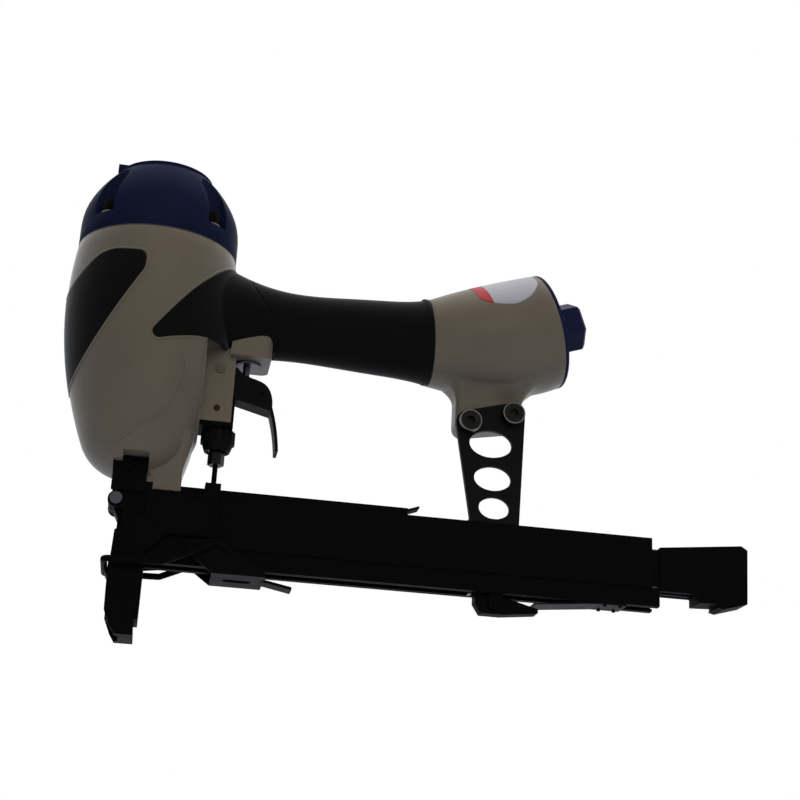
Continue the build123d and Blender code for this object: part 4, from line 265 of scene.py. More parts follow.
@dataclass(frozen=True)
class Finish:
    """One surface finish: two clouded colours, rubbed spots, gloss and a fine relief.

    Attributes:
        name: Name of the material.
        colour: Main colour as display values.
        cloud: Second colour that the clouding brings in.
        rubbed: Colour of the rubbed spots.
        rubbed_level: Noise level above which a spot shows, 1 for none.
        roughness: Lowest and highest roughness over the clouding.
        metallic: Metallic value of the shader.
        specular: Specular level of the shader.
        sheen: Weight of the soft sheen at a grazing look.
        grain: Grain cells per metre.
        relief: Height of the grain in millimetres.
        drawn: Height of drawn lines in millimetres, nought for none.
        cloud_scale: Clouds per metre.
    """

    name: str
    colour: tuple[float, float, float]
    cloud: tuple[float, float, float]
    rubbed: tuple[float, float, float] = (120, 120, 124)
    rubbed_level: float = 1.0
    roughness: tuple[float, float] = (0.4, 0.5)
    metallic: float = 0.0
    specular: float = 0.4
    sheen: float = 0.0
    grain: float = 2500.0
    relief: float = 0.02
    drawn: float = 0.0
    cloud_scale: float = 60.0

    def build(self, effects: Effects) -> bpy.types.Material:
        """Builds the material.

        Args:
            effects: The shared shader groups.

        Returns:
            The finished material.
        """
        material = bpy.data.materials.new(self.name)
        material.use_nodes = True
        tree = material.node_tree
        n, link = tree.nodes, tree.links.new
        shader = n["Principled BSDF"]
        plain = {
            "Metallic": self.metallic,
            "Specular IOR Level": self.specular,
            "Sheen Weight": self.sheen,
            "Sheen Roughness": SHEEN_ROUGHNESS,
        }
        for label, value in plain.items():
            shader.inputs[label].default_value = value
        clouds = group_node(tree, effects.mottle, {"Scale": self.cloud_scale})
        tint = colour_mix(tree, clouds.outputs["Mask"])
        tint.inputs[6].default_value = linear(*self.colour)
        tint.inputs[7].default_value = linear(*self.cloud)
        spots = group_node(tree, effects.scuff, {"Level": self.rubbed_level})
        worn = colour_mix(tree, spots.outputs["Mask"])
        worn.inputs[7].default_value = linear(*self.rubbed)
        link(tint.outputs[2], worn.inputs[6])
        link(worn.outputs[2], shader.inputs["Base Color"])
        gloss = n.new("ShaderNodeMapRange")
        gloss.inputs["To Min"].default_value = self.roughness[0]
        gloss.inputs["To Max"].default_value = self.roughness[1]
        link(clouds.outputs["Mask"], gloss.inputs["Value"])
        link(gloss.outputs["Result"], shader.inputs["Roughness"])
        grain = group_node(tree, effects.grain, {"Scale": self.grain})
        bump = n.new("ShaderNodeBump")
        bump.inputs["Distance"].default_value = self.relief * MM
        link(grain.outputs["Height"], bump.inputs["Height"])
        if self.drawn > 0:
            lines = group_node(tree, effects.brush, {})
            scratch = n.new("ShaderNodeBump")
            scratch.inputs["Distance"].default_value = self.drawn * MM
            link(lines.outputs["Height"], scratch.inputs["Height"])
            link(bump.outputs["Normal"], scratch.inputs["Normal"])
            bump = scratch
        link(bump.outputs["Normal"], shader.inputs["Normal"])
        return material


LACQUER = Finish(
    "satin_grey_lacquer", (87, 79, 67), (81, 73, 62), roughness=(0.36, 0.44), specular=0.24,
    sheen=0.34, grain=3200, relief=0.012, cloud_scale=45,
)
NAVY = Finish(
    "navy_lacquer", (20, 26, 49), (17, 22, 42), roughness=(0.38, 0.48), specular=0.008, sheen=0.03,
    grain=2600, relief=0.012, cloud_scale=50,
)
RUBBER = Finish(
    "moulded_rubber", (7, 7, 7), (10, 10, 9), roughness=(0.5, 0.62), specular=0.025, sheen=0.24,
    grain=3600, relief=0.03, cloud_scale=80,
)
BLACK_STEEL = Finish(
    "black_oxide_steel", (6, 6, 6), (8, 8, 8), rubbed=(18, 18, 19), rubbed_level=0.7,
    roughness=(0.42, 0.56), specular=0.013, grain=1800, relief=0.012, drawn=0.006, cloud_scale=70,
)
BLACK_MOULD = Finish(
    "black_moulding", (8, 8, 8), (11, 11, 11), roughness=(0.45, 0.55), specular=0.03,
    grain=4200, relief=0.02, cloud_scale=90,
)
ZINC = Finish(
    "zinc_plate", (70, 70, 76), (58, 58, 64), rubbed=(48, 47, 46), rubbed_level=0.68,
    roughness=(0.28, 0.42), metallic=1.0, grain=2200, relief=0.01, drawn=0.008, cloud_scale=120,
)
SEAL = Finish(
    "seal_rubber", (12, 12, 12), (15, 15, 15), roughness=(0.5, 0.6), grain=5000, relief=0.01,
)
ANODISED = Finish(
    "dark_anodised", (15, 21, 52), (12, 18, 45), roughness=(0.34, 0.44), specular=0.05,
    grain=3000, relief=0.01,
)
ALLOY = Finish(
    "turned_alloy", (150, 150, 152), (130, 130, 134), roughness=(0.3, 0.42), metallic=1.0,
    grain=2600, relief=0.01,
)
BRIGHT_RIM = Finish(
    "bright_turned_rim", (104, 101, 97), (74, 72, 69), roughness=(0.22, 0.34), metallic=1.0,
    grain=2400, relief=0.008, cloud_scale=160,
)
PIN_LACQUER = Finish(
    "lacquered_pin", (78, 70, 60), (70, 62, 53), roughness=(0.4, 0.5), specular=0.16,
    grain=3000, relief=0.012,
)
WORN_BOLT = Finish(
    "worn_bolt_steel", (20, 18, 15), (13, 12, 10), rubbed=(38, 35, 30), rubbed_level=0.62,
    roughness=(0.34, 0.5), metallic=0.8, grain=2600, relief=0.014, drawn=0.01, cloud_scale=260,
)
ENAMEL = Finish(
    "black_enamel", (12, 12, 12), (15, 15, 15), rubbed=(24, 24, 24), rubbed_level=0.72,
    roughness=(0.4, 0.52), specular=0.03, grain=2600, relief=0.014, cloud_scale=80,
)
COPPERED = Finish(
    "coppered_pin", (44, 17, 16), (36, 14, 13), roughness=(0.34, 0.46), specular=0.06,
    grain=2600, relief=0.012,
)
PHOSPHATE = Finish(
    "phosphated_sheet", (9, 9, 11), (8, 8, 9), rubbed=(17, 17, 19), rubbed_level=0.66,
    roughness=(0.36, 0.5), specular=0.012, grain=2200, relief=0.012, drawn=0.008, cloud_scale=120,
)
SPRING_STEEL = Finish(
    "blued_spring_steel", (26, 26, 29), (21, 21, 24), rubbed=(36, 35, 35), rubbed_level=0.66,
    roughness=(0.32, 0.46), specular=0.016, grain=2200, relief=0.01, drawn=0.008, cloud_scale=120,
)
LABEL_WHITE = Finish(
    "label_film_white", (150, 150, 158), (143, 143, 152), roughness=(0.36, 0.46), specular=0.16,
    grain=5200, relief=0.004,
)
LABEL_RED = Finish(
    "label_film_red", (150, 40, 46), (142, 37, 43), roughness=(0.36, 0.46), specular=0.16,
    grain=5200, relief=0.004,
)


@dataclass(frozen=True)
class Dress:
    """Finish and edge treatment of frame nodes.

    Attributes:
        finish: The finish.
        shade: The edge treatment.
        nodes: The nodes' names.
    """

    finish: Finish
    shade: Shade
    nodes: tuple[str, ...]


DRESSES = (
    Dress(LACQUER, Shade.CAST, ("gun_body",)),
    Dress(NAVY, Shade.CAST, ("cylinder_cap", "exhaust_deflector")),
    Dress(RUBBER, Shade.MOULDED, ("front_pad", "neck_pad", "grip_sleeve")),
    Dress(ANODISED, Shade.TURNED, ("end_cap",)),
    Dress(BLACK_MOULD, Shade.MOULDED, ("adjustment_knob", "head_valve")),
    Dress(BLACK_MOULD, Shade.TURNED, ("trigger",)),
    Dress(
        BLACK_STEEL, Shade.TURNED,
        (
            "pull_end", "rail_rivets", "nose_body", "nose_door", "cap_screws", "deflector_screw",
            "nose_screws", "latch_studs", "lever_pin",
        ),
    ),
    Dress(
        BLACK_STEEL, Shade.SHEET,
        ("magazine_housing", "top_rail", "contact_arm", "release_latch", "trip_guide"),
    ),
    Dress(BLACK_STEEL, Shade.SHARP, ("latch_bail", "trip_rod", "latch_pin", "leaf_rivets")),
    Dress(COPPERED, Shade.TURNED, ("guide_pins",)),
    Dress(ENAMEL, Shade.SHEET, ("magazine_bracket",)),
    Dress(WORN_BOLT, Shade.TURNED, ("bracket_screws", "stop_nut")),
    Dress(PHOSPHATE, Shade.SHEET, ("latch_lever",)),
    Dress(PIN_LACQUER, Shade.TURNED, ("trigger_pin",)),
    Dress(BRIGHT_RIM, Shade.TURNED, ("cap_washers",)),
    Dress(ZINC, Shade.SHEET, ("staple_rail", "trigger_lever", "pusher", "driver_blade")),
    Dress(ZINC, Shade.TURNED, ("door_pin", "valve_body")),
    Dress(ZINC, Shade.SHARP, ("bracket_rivets", "valve_plunger", "feed_spring")),
    Dress(
        SEAL, Shade.SHARP,
        (
            "sleeve_rings", "piston_ring", "head_valve_ring", "end_cap_ring", "cap_gasket",
            "bumper",
        ),
    ),
    Dress(ALLOY, Shade.SHARP, ("cylinder_sleeve", "piston")),
)


class Wardrobe:
    """Builds each finish once and dresses frame nodes and new pieces with it."""

    def __init__(self) -> None:
        """Prepares the shared effects."""
        self.effects = Effects()
        self.materials: dict[str, bpy.types.Material] = {}

    def material(self, finish: Finish) -> bpy.types.Material:
        """Material of a finish, built at its first use."""
        if finish.name not in self.materials:
            self.materials[finish.name] = finish.build(self.effects)
        return self.materials[finish.name]

    def wear(self, thing: bpy.types.Object, finish: Finish) -> None:
        """Gives an object one finish on all its material slots."""
        thing.data.materials.clear()
        thing.data.materials.append(self.material(finish))

    def dress_nodes(self, dresses: tuple[Dress, ...]) -> None:
        """Dresses frame nodes and rounds their edges with a bevel on the welded mesh.

        Args:
            dresses: Finish and edge treatment of each group of nodes.
        """
        for dress in dresses:
            for name in dress.nodes:
                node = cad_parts[name]
                self.wear(node, dress.finish)
                weld = node.modifiers.new("weld", "WELD")
                weld.merge_threshold = WELD_GAP
                if dress.shade is not Shade.SHARP:
                    bevel = node.modifiers.new("edges", "BEVEL")
                    bevel.width = dress.shade.value * MM
                    bevel.segments = BEVEL_STEPS
                    bevel.limit_method = "ANGLE"
                    bevel.angle_limit = BEVEL_ANGLE
                    bevel.use_clamp_overlap = True
                    bevel.harden_normals = True
                log.info("dressed %s with %s", name, dress.finish.name)


@dataclass(frozen=True)
class Lamp:
    """Soft square lamp that doesn't show in glossy surfaces.

    Attributes:
        name: The lamp's name.
        place: Its place in millimetres.
        size: Its side in millimetres.
        power: Its power in watts.
        tint: Its colour.
    """

    name: str
    place: tuple[float, float, float]
    size: float
    power: float
    tint: tuple[float, float, float] = (1.0, 0.95, 0.87)

    def build(self, target: tuple[float, float, float]) -> None:
        """Builds the lamp, aimed at a point.

        Args:
            target: The point in millimetres.
        """
        data = bpy.data.lights.new(self.name, "AREA")
        data.size = self.size * MM
        data.energy = self.power
        data.color = self.tint
        lamp = bpy.data.objects.new(self.name, data)
        lamp.visible_glossy = False
        aim = (Vector(target) - Vector(self.place)).to_track_quat("-Z", "Y")
        lamp.matrix_world = Matrix.Translation(Vector(self.place) * MM) @ aim.to_matrix().to_4x4()
        bpy.context.scene.collection.objects.link(lamp)


@dataclass
class Studio:
    """Pale floor, soft light and the photograph's camera.

    Attributes:
        azimuth: Camera's turn about Z in degrees, 0 looking along +Y.
        elevation: Camera's angle above the horizon in degrees.
        roll: Camera's roll in degrees.
        focal: Focal length in pixels of an image as wide as the photograph.
        target: Point at the image centre in millimetres.
        distance: Camera's distance from the target in millimetres.
        fade_place: Y of a direction where the world's light starts and ends its rise.
        fade_strength: Strength of the world's light before and after that rise.
        sky_tint: Colour of the world's light.
        floor_height: Height of the floor in millimetres.
        floor_span: Half of the floor's side in millimetres.
        floor_grey: Darkest and lightest grey of the floor.
        floor_grain: Scale of the floor's clouding.
        floor_glow: How much white is added where the floor shows.
        lamps: The lamps.
    """

    azimuth: float = -8.88
    elevation: float = -19.86
    roll: float = 3.03
    focal: float = 1516.51
    target: tuple[float, float, float] = (131.28, 0.0, 135.28)
    distance: float = 785.93
    fade_place: tuple[float, float] = (-0.5, 0.5)
    fade_strength: tuple[float, float] = (0.04, 1.0)
    sky_tint: tuple[float, float, float, float] = (0.78, 0.93, 1.18, 1.0)
    floor_height: float = -330.0
    floor_span: float = 4000.0
    floor_grey: tuple[float, float] = (0.66, 0.7)
    floor_grain: float = 3.0
    floor_glow: float = 0.45
    lamps: tuple[Lamp, ...] = (
        Lamp("top_lamp", (100, 100, 1250), 900, 14),
        Lamp("front_fill", (300, -1500, 700), 1500, 14),
    )

    def camera(self) -> None:
        """Places the camera: right, up and back axes turned by azimuth, elevation and roll."""
        a, e, r = radians(self.azimuth), radians(self.elevation), radians(self.roll)
        back = Vector((sin(a) * cos(e), -cos(a) * cos(e), sin(e)))
        right = Vector((cos(a), sin(a), 0.0))
        up = right.cross(-back)
        right, up = right * cos(r) + up * sin(r), up * cos(r) - right * sin(r)
        place = Vector(self.target) * MM + back * self.distance * MM
        data = bpy.data.cameras.new("photo_camera")
        data.sensor_width = SENSOR_WIDTH
        data.lens = self.focal * SENSOR_WIDTH / PHOTO_WIDTH
        data.clip_start = 0.01
        eye = bpy.data.objects.new("photo_camera", data)
        turn = Matrix((right, up, back)).transposed().to_4x4()
        eye.matrix_world = Matrix.Translation(place) @ turn
        bpy.context.scene.collection.objects.link(eye)
        bpy.context.scene.camera = eye

    @staticmethod
    def shown(tree: bpy.types.NodeTree) -> bpy.types.NodeSocket:
        """Mask of the rays that show the background: to the camera, in a gloss or through glass.

        Args:
            tree: Node tree of the world or of the floor's material.

        Returns:
            Socket with 1 for such a ray and 0 for the light itself.
        """
        path = tree.nodes.new("ShaderNodeLightPath")
        total = path.outputs["Is Camera Ray"]
        for ray in ("Is Glossy Ray", "Is Transmission Ray"):
            add = math_node(tree, "ADD", clamp=True)
            tree.links.new(total, add.inputs[0])
            tree.links.new(path.outputs[ray], add.inputs[1])
            total = add.outputs["Value"]
        return total

    def world(self) -> None:
        """White surround where it shows, brighter behind the tool than before it for the light."""
        world = bpy.data.worlds.new("studio")
        bpy.context.scene.world = world
        world.use_nodes = True
        n, link = world.node_tree.nodes, world.node_tree.links.new
        coord = n.new("ShaderNodeTexCoord")
        split = n.new("ShaderNodeSeparateXYZ")
        link(coord.outputs["Generated"], split.inputs["Vector"])
        fade = n.new("ShaderNodeMapRange")
        fade.interpolation_type = "SMOOTHSTEP"
        rise = dict(zip(("From Min", "From Max"), self.fade_place))
        rise |= dict(zip(("To Min", "To Max"), self.fade_strength))
        for label, value in rise.items():
            fade.inputs[label].default_value = value
        link(split.outputs["Y"], fade.inputs["Value"])
        shown = self.shown(world.node_tree)
        strength = n.new("ShaderNodeMix")
        strength.inputs[3].default_value = 1.0
        link(shown, strength.inputs[0])
        link(fade.outputs["Result"], strength.inputs[2])
        sky = colour_mix(world.node_tree, shown)
        sky.inputs[6].default_value = self.sky_tint
        sky.inputs[7].default_value = WHITE
        link(sky.outputs[2], n["Background"].inputs["Color"])
        link(strength.outputs[0], n["Background"].inputs["Strength"])

    def floor(self) -> None:
        """Plain pale floor well below the tool."""
        step = np.linspace(-self.floor_span, self.floor_span, 3)
        x, y = np.meshgrid(step, step, indexing="ij")
        points = np.stack([x, y, np.full_like(x, self.floor_height)], axis=-1)
        floor = grid_piece("studio_floor", points * MM)
        material = bpy.data.materials.new("pale_floor")
        material.use_nodes = True
        tree = material.node_tree
        n, link = tree.nodes, tree.links.new
        shader = n["Principled BSDF"]
        shader.inputs["Roughness"].default_value = 0.9
        shader.inputs["Emission Color"].default_value = WHITE
        coord = n.new("ShaderNodeTexCoord")
        noise = n.new("ShaderNodeTexNoise")
        noise.inputs["Scale"].default_value = self.floor_grain
        grey = n.new("ShaderNodeMapRange")
        grey.inputs["To Min"].default_value, grey.inputs["To Max"].default_value = self.floor_grey
        link(coord.outputs["Object"], noise.inputs["Vector"])
        link(noise.outputs["Fac"], grey.inputs["Value"])
        link(grey.outputs["Result"], shader.inputs["Base Color"])
        glow = math_node(tree, "MULTIPLY", self.floor_glow)
        link(self.shown(tree), glow.inputs[0])
        link(glow.outputs["Value"], shader.inputs["Emission Strength"])
        floor.data.materials.append(material)

    def build(self) -> None:
        """Sets the view and builds floor, world, lamps and camera."""
        bpy.context.scene.view_settings.view_transform = "Standard"
        self.world()
        self.floor()
        for lamp in self.lamps:
            lamp.build(self.target)
        self.camera()


def grid_piece(
    name: str, points: np.ndarray, loop_u: bool = False, loop_v: bool = False
) -> bpy.types.Object:
    """Object from a grid of points: each cell of the two parameters becomes one face.

    Args:
        name: Name of the object.
        points: Array of shape (u, v, 3) in metres.
        loop_u: Joins the last row to the first.
        loop_v: Joins the last column to the first.

    Returns:
        The new smooth-shaded object, linked to the scene.
    """
    rows, columns = points.shape[:2]
    index = np.arange(rows * columns).reshape(rows, columns)
    if loop_u:
        index = np.vstack([index, index[:1]])
    if loop_v:
        index = np.hstack([index, index[:, :1]])
    around = [index[:-1, :-1], index[1:, :-1], index[1:, 1:], index[:-1, 1:]]
    faces = np.stack(around, axis=-1).reshape(-1, 4)
    mesh = bpy.data.meshes.new(name)
    mesh.from_pydata(points.reshape(-1, 3).tolist(), [], faces.tolist())
    mesh.polygons.foreach_set("use_smooth", np.ones(len(faces), bool))
    mesh.update()
    thing = bpy.data.objects.new(name, mesh)
    bpy.context.scene.collection.objects.link(thing)
    return thing


def weld_poles(thing: bpy.types.Object) -> None:
    """Joins points that lie on each other, such as the tips of a tapered bead."""
    work = bmesh.new()
    work.from_mesh(thing.data)
    bmesh.ops.remove_doubles(work, verts=work.verts, dist=POLE_GAP)
    bmesh.ops.recalc_face_normals(work, faces=work.faces)
    work.to_mesh(thing.data)
    work.free()


def resample(path: np.ndarray, count: int, closed: bool = False) -> np.ndarray:
    """Points at even spacing along a run of points.

    Args:
        path: Array of shape (n, 2 or 3).
        count: Number of points wanted.
        closed: Whether the run returns to its first point.

    Returns:
        Array of shape (count, 2 or 3).
    """
    run = np.vstack([path, path[:1]]) if closed else path
    length = np.concatenate([[0.0], np.cumsum(np.linalg.norm(np.diff(run, axis=0), axis=1))])
    place = np.linspace(0.0, length[-1], count, endpoint=not closed)
    return np.stack([np.interp(place, length, axis) for axis in run.T], axis=-1)


def rounded(corners: list[tuple[float, float]], radii: list[float], steps: int = 14) -> np.ndarray:
    """Closed outline with rounded corners: quadratic curves between the corners' tangent points.

    Args:
        corners: Corner points of the outline.
        radii: Cut back from each corner along its two sides.
        steps: Points of each rounded corner.

    Returns:
        Array of shape (corners times steps, 2).
    """
    here = np.array(corners, float)
    last, after = np.roll(here, 1, axis=0), np.roll(here, -1, axis=0)
    cut = np.array(radii, float)[:, None]
    start = here + (last - here) / np.linalg.norm(last - here, axis=1, keepdims=True) * cut
    stop = here + (after - here) / np.linalg.norm(after - here, axis=1, keepdims=True) * cut
    t = np.linspace(0.0, 1.0, steps)[None, :, None]
    curve = (1 - t) ** 2 * start[:, None] + 2 * t * (1 - t) * here[:, None] + t**2 * stop[:, None]
    return curve.reshape(-1, 2)


def bead(
    name: str,
    path: np.ndarray,
    normal: np.ndarray,
    width: float,
    height: float,
    closed: bool,
    sides: int = 12,
    tip: float = 16.0,
) -> bpy.types.Object:
    """Raised bead on a surface: an ellipse carried along a path, pointed at an open end.

    Point = path + width * cos(v) * across + height * sin(v) * normal, where across is the path's
    run crossed with the surface normal.

    Args:
        name: Name of the object.
        path: Points on the surface in millimetres, shape (n, 3).
        normal: Surface normals at the points, shape (n, 3).
        width: Half width in millimetres.
        height: Height in millimetres.
        closed: Whether the bead closes on itself.
        sides: Points round the section.
        tip: How short an open end's tip is: one part in so many of the whole run.

    Returns:
        The new object.
    """
    loop = np.roll(path, -1, axis=0) - np.roll(path, 1, axis=0)
    run = loop if closed else np.gradient(path, axis=0)
    run = run / np.linalg.norm(run, axis=1, keepdims=True)
    across = np.cross(run, normal)
    across /= np.linalg.norm(across, axis=1, keepdims=True)
    turn = np.linspace(0.0, tau, sides, endpoint=False)[None, :, None]
    place = np.linspace(0.0, 1.0, len(path))
    pointed = np.clip(np.minimum(place, 1 - place) * tip, 0, 1) ** 0.5
    taper = np.ones(len(path)) if closed else pointed
    offset = width * np.cos(turn) * across[:, None] + height * np.sin(turn) * normal[:, None]
    points = path[:, None] + offset * taper[:, None, None]
    thing = grid_piece(name, points * MM, loop_u=closed, loop_v=True)
    weld_poles(thing)
    return thing


def lathe(
    name: str,
    profile: np.ndarray,
    centre: tuple[float, float, float],
    axis: tuple[float, float, float],
    turns: int = 64,
) -> bpy.types.Object:
    """Turned piece: a profile of radius and height carried round an axis.

    Args:
        name: Name of the object.
        profile: Closed run of radius and height along the axis in millimetres, shape (n, 2).
        centre: Point of the axis at height nought in millimetres.
        axis: Direction of the axis.
        turns: Points round the axis.

    Returns:
        The new object.
    """
    up = np.array(axis, float) / np.linalg.norm(axis)
    first = np.cross(up, (1.0, 0.0, 0.0) if abs(up[0]) < 0.7 else (0.0, 0.0, 1.0))
    first /= np.linalg.norm(first)
    second = np.cross(up, first)
    turn = np.linspace(0.0, tau, turns, endpoint=False)[:, None, None]
    radial = np.cos(turn) * first + np.sin(turn) * second
    points = np.array(centre) + profile[None, :, :1] * radial + profile[None, :, 1:] * up
    thing = grid_piece(name, points * MM, loop_u=True, loop_v=True)
    weld_poles(thing)
    return thing


@dataclass
class Barrel:
    """Skin of the round barrel as radius over height.

    Attributes:
        heights: Heights in millimetres, rising.
        radii: Radii at these heights in millimetres.
    """

    heights: tuple[float, ...] = (
        86.0, 88.0, 90.0, 92.0, 94.0, 96.0, 104.0, 112.0, 120.0, 128.0, 136.0, 144.0, 152.0,
        160.0, 168.0, 176.0, 184.0, 192.0, 198.3,
    )
    radii: tuple[float, ...] = (
        21.5, 23.32, 24.78, 25.94, 26.88, 27.71, 30.71, 33.36, 35.67, 37.65, 39.29, 40.61, 41.59,
        42.25, 42.57, 42.55, 42.18, 41.44, 40.5,
    )

    def radius(self, z: np.ndarray) -> np.ndarray:
        """Radius of the skin at given heights."""
        return np.interp(z, self.heights, self.radii)

    def drop(self, side: np.ndarray, sign: Side) -> tuple[np.ndarray, np.ndarray]:
        """Points and normals of the skin above points of the side view.

        Args:
            side: X and Z of the points in millimetres, shape (n, 2).
            sign: Side of the tool.

        Returns:
            Points and normals, each of shape (n, 3).
        """
        x, z = side.T
        radius = self.radius(z)
        slope = (self.radius(z + 1.0) - self.radius(z - 1.0)) / 2.0
        y = sign.value * np.sqrt(np.maximum(radius**2 - x**2, 0.0))
        normal = np.stack([x / radius, y / radius, -slope], axis=-1)
        normal /= np.linalg.norm(normal, axis=1, keepdims=True)
        return np.stack([x, y, z], axis=-1), normal


@dataclass
class HeadTrim:
    """Cast edges of the head: rims round the rubber pads and the crease on the barrel's side.

    Attributes:
        wardrobe: Finishes.
        barrel: Skin of the barrel.
        front_pad: Corner points of the front pad in the side view.
        front_cut: Cut back of each corner for its rounding.
        neck_pad: Run of the neck pad's edge on the barrel in the side view.
        crease: Run of the crease in the side view.
        rim: Half width and height of a rim.
        crease_size: Half width and height of the crease.
    """

    wardrobe: Wardrobe
    barrel: Barrel = field(default_factory=Barrel)
    front_pad: tuple[tuple[float, float], ...] = (
        (-52.6, 158.3), (-25.8, 185.8), (-3.6, 184.1), (-3.8, 174.3), (-36.6, 118.0)
    )
    front_cut: tuple[float, ...] = (1.0, 9.0, 4.4, 3.4, 1.0)
    neck_pad: tuple[tuple[float, float], ...] = (
        (39.2, 192.0), (29.3, 180.2), (19.4, 168.0), (11.2, 156.9), (3.1, 145.9), (2.02, 144.1),
        (1.81, 142.56), (2.45, 140.81), (4.17, 139.49), (6.03, 139.33), (12.14, 141.15),
        (21.72, 144.03), (29.4, 146.33),
    )
    crease: tuple[tuple[float, float], ...] = (
        (16.8, 136.0), (19.6, 131.5), (19.6, 123.0), (15.7, 112.5), (10.0, 104.0), (1.5, 99.0),
        (-5.0, 93.6), (-11.6, 88.7),
    )
    rim: tuple[float, float] = (0.75, 0.62)
    crease_size: tuple[float, float] = (0.75, 0.5)

    def front_rim(self) -> bpy.types.Object:
        """Rim round the front pad: near side to the front line, then back along the far side."""
        outline = resample(rounded(list(self.front_pad), list(self.front_cut)), 900, closed=True)
        shows = np.abs(outline[:, 0]) < self.barrel.radius(outline[:, 1]) - 0.02
        first = int(np.argmax(shows & ~np.roll(shows, 1)))
        run = np.roll(outline, -first, axis=0)[: int(shows.sum())]
        near, near_normal = self.barrel.drop(run, Side.NEAR)
        far, far_normal = self.barrel.drop(run[::-1], Side.FAR)
        both = np.hstack([np.vstack([near, far]), np.vstack([near_normal, far_normal])])
        even = resample(both, 420, closed=True)
        return bead("front_pad_rim", even[:, :3], even[:, 3:], *self.rim, True)

    def neck_rim(self, side: Side) -> bpy.types.Object:
        """Rim along the neck pad on one side of the barrel."""
        path, normal = self.barrel.drop(resample(smooth(self.neck_pad), 160), side)
        return bead(f"neck_pad_rim_{side.name.lower()}", path, normal, *self.rim, False)

    def crease_line(self, side: Side) -> bpy.types.Object:
        """Shallow crease of the casting on one side of the barrel."""
        path, normal = self.barrel.drop(resample(smooth(self.crease), 120), side)
        return bead(f"side_crease_{side.name.lower()}", path, normal, *self.crease_size, False)

    def build(self) -> None:
        """Builds the rims and creases and dresses them as the casting."""
        made = [self.front_rim()]
        made += [make(side) for side in Side for make in (self.neck_rim, self.crease_line)]
        for piece in made:
            self.wardrobe.wear(piece, LACQUER)
            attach(piece, "gun")
            log.info("built %s", piece.name)


def smooth(points: tuple[tuple[float, float], ...], count: int = 240) -> np.ndarray:
    """Smooth run through points: a Catmull-Rom curve over the points' index.

    Args:
        points: Points to pass through.
        count: Number of points wanted.

    Returns:
        Array of shape (count, 2).
    """
    knots = np.array(points, float)
    padded = np.vstack([2 * knots[0] - knots[1], knots, 2 * knots[-1] - knots[-2]])
    place = np.linspace(0.0, len(knots) - 1.000001, count)
    cell = place.astype(int)
    t = (place - cell)[:, None]
    a, b, c, d = (padded[cell + k] for k in range(4))
    square, cube = 2 * a - 5 * b + 4 * c - d, 3 * b - a - 3 * c + d
    return 0.5 * (2 * b + (c - a) * t + square * t**2 + cube * t**3)


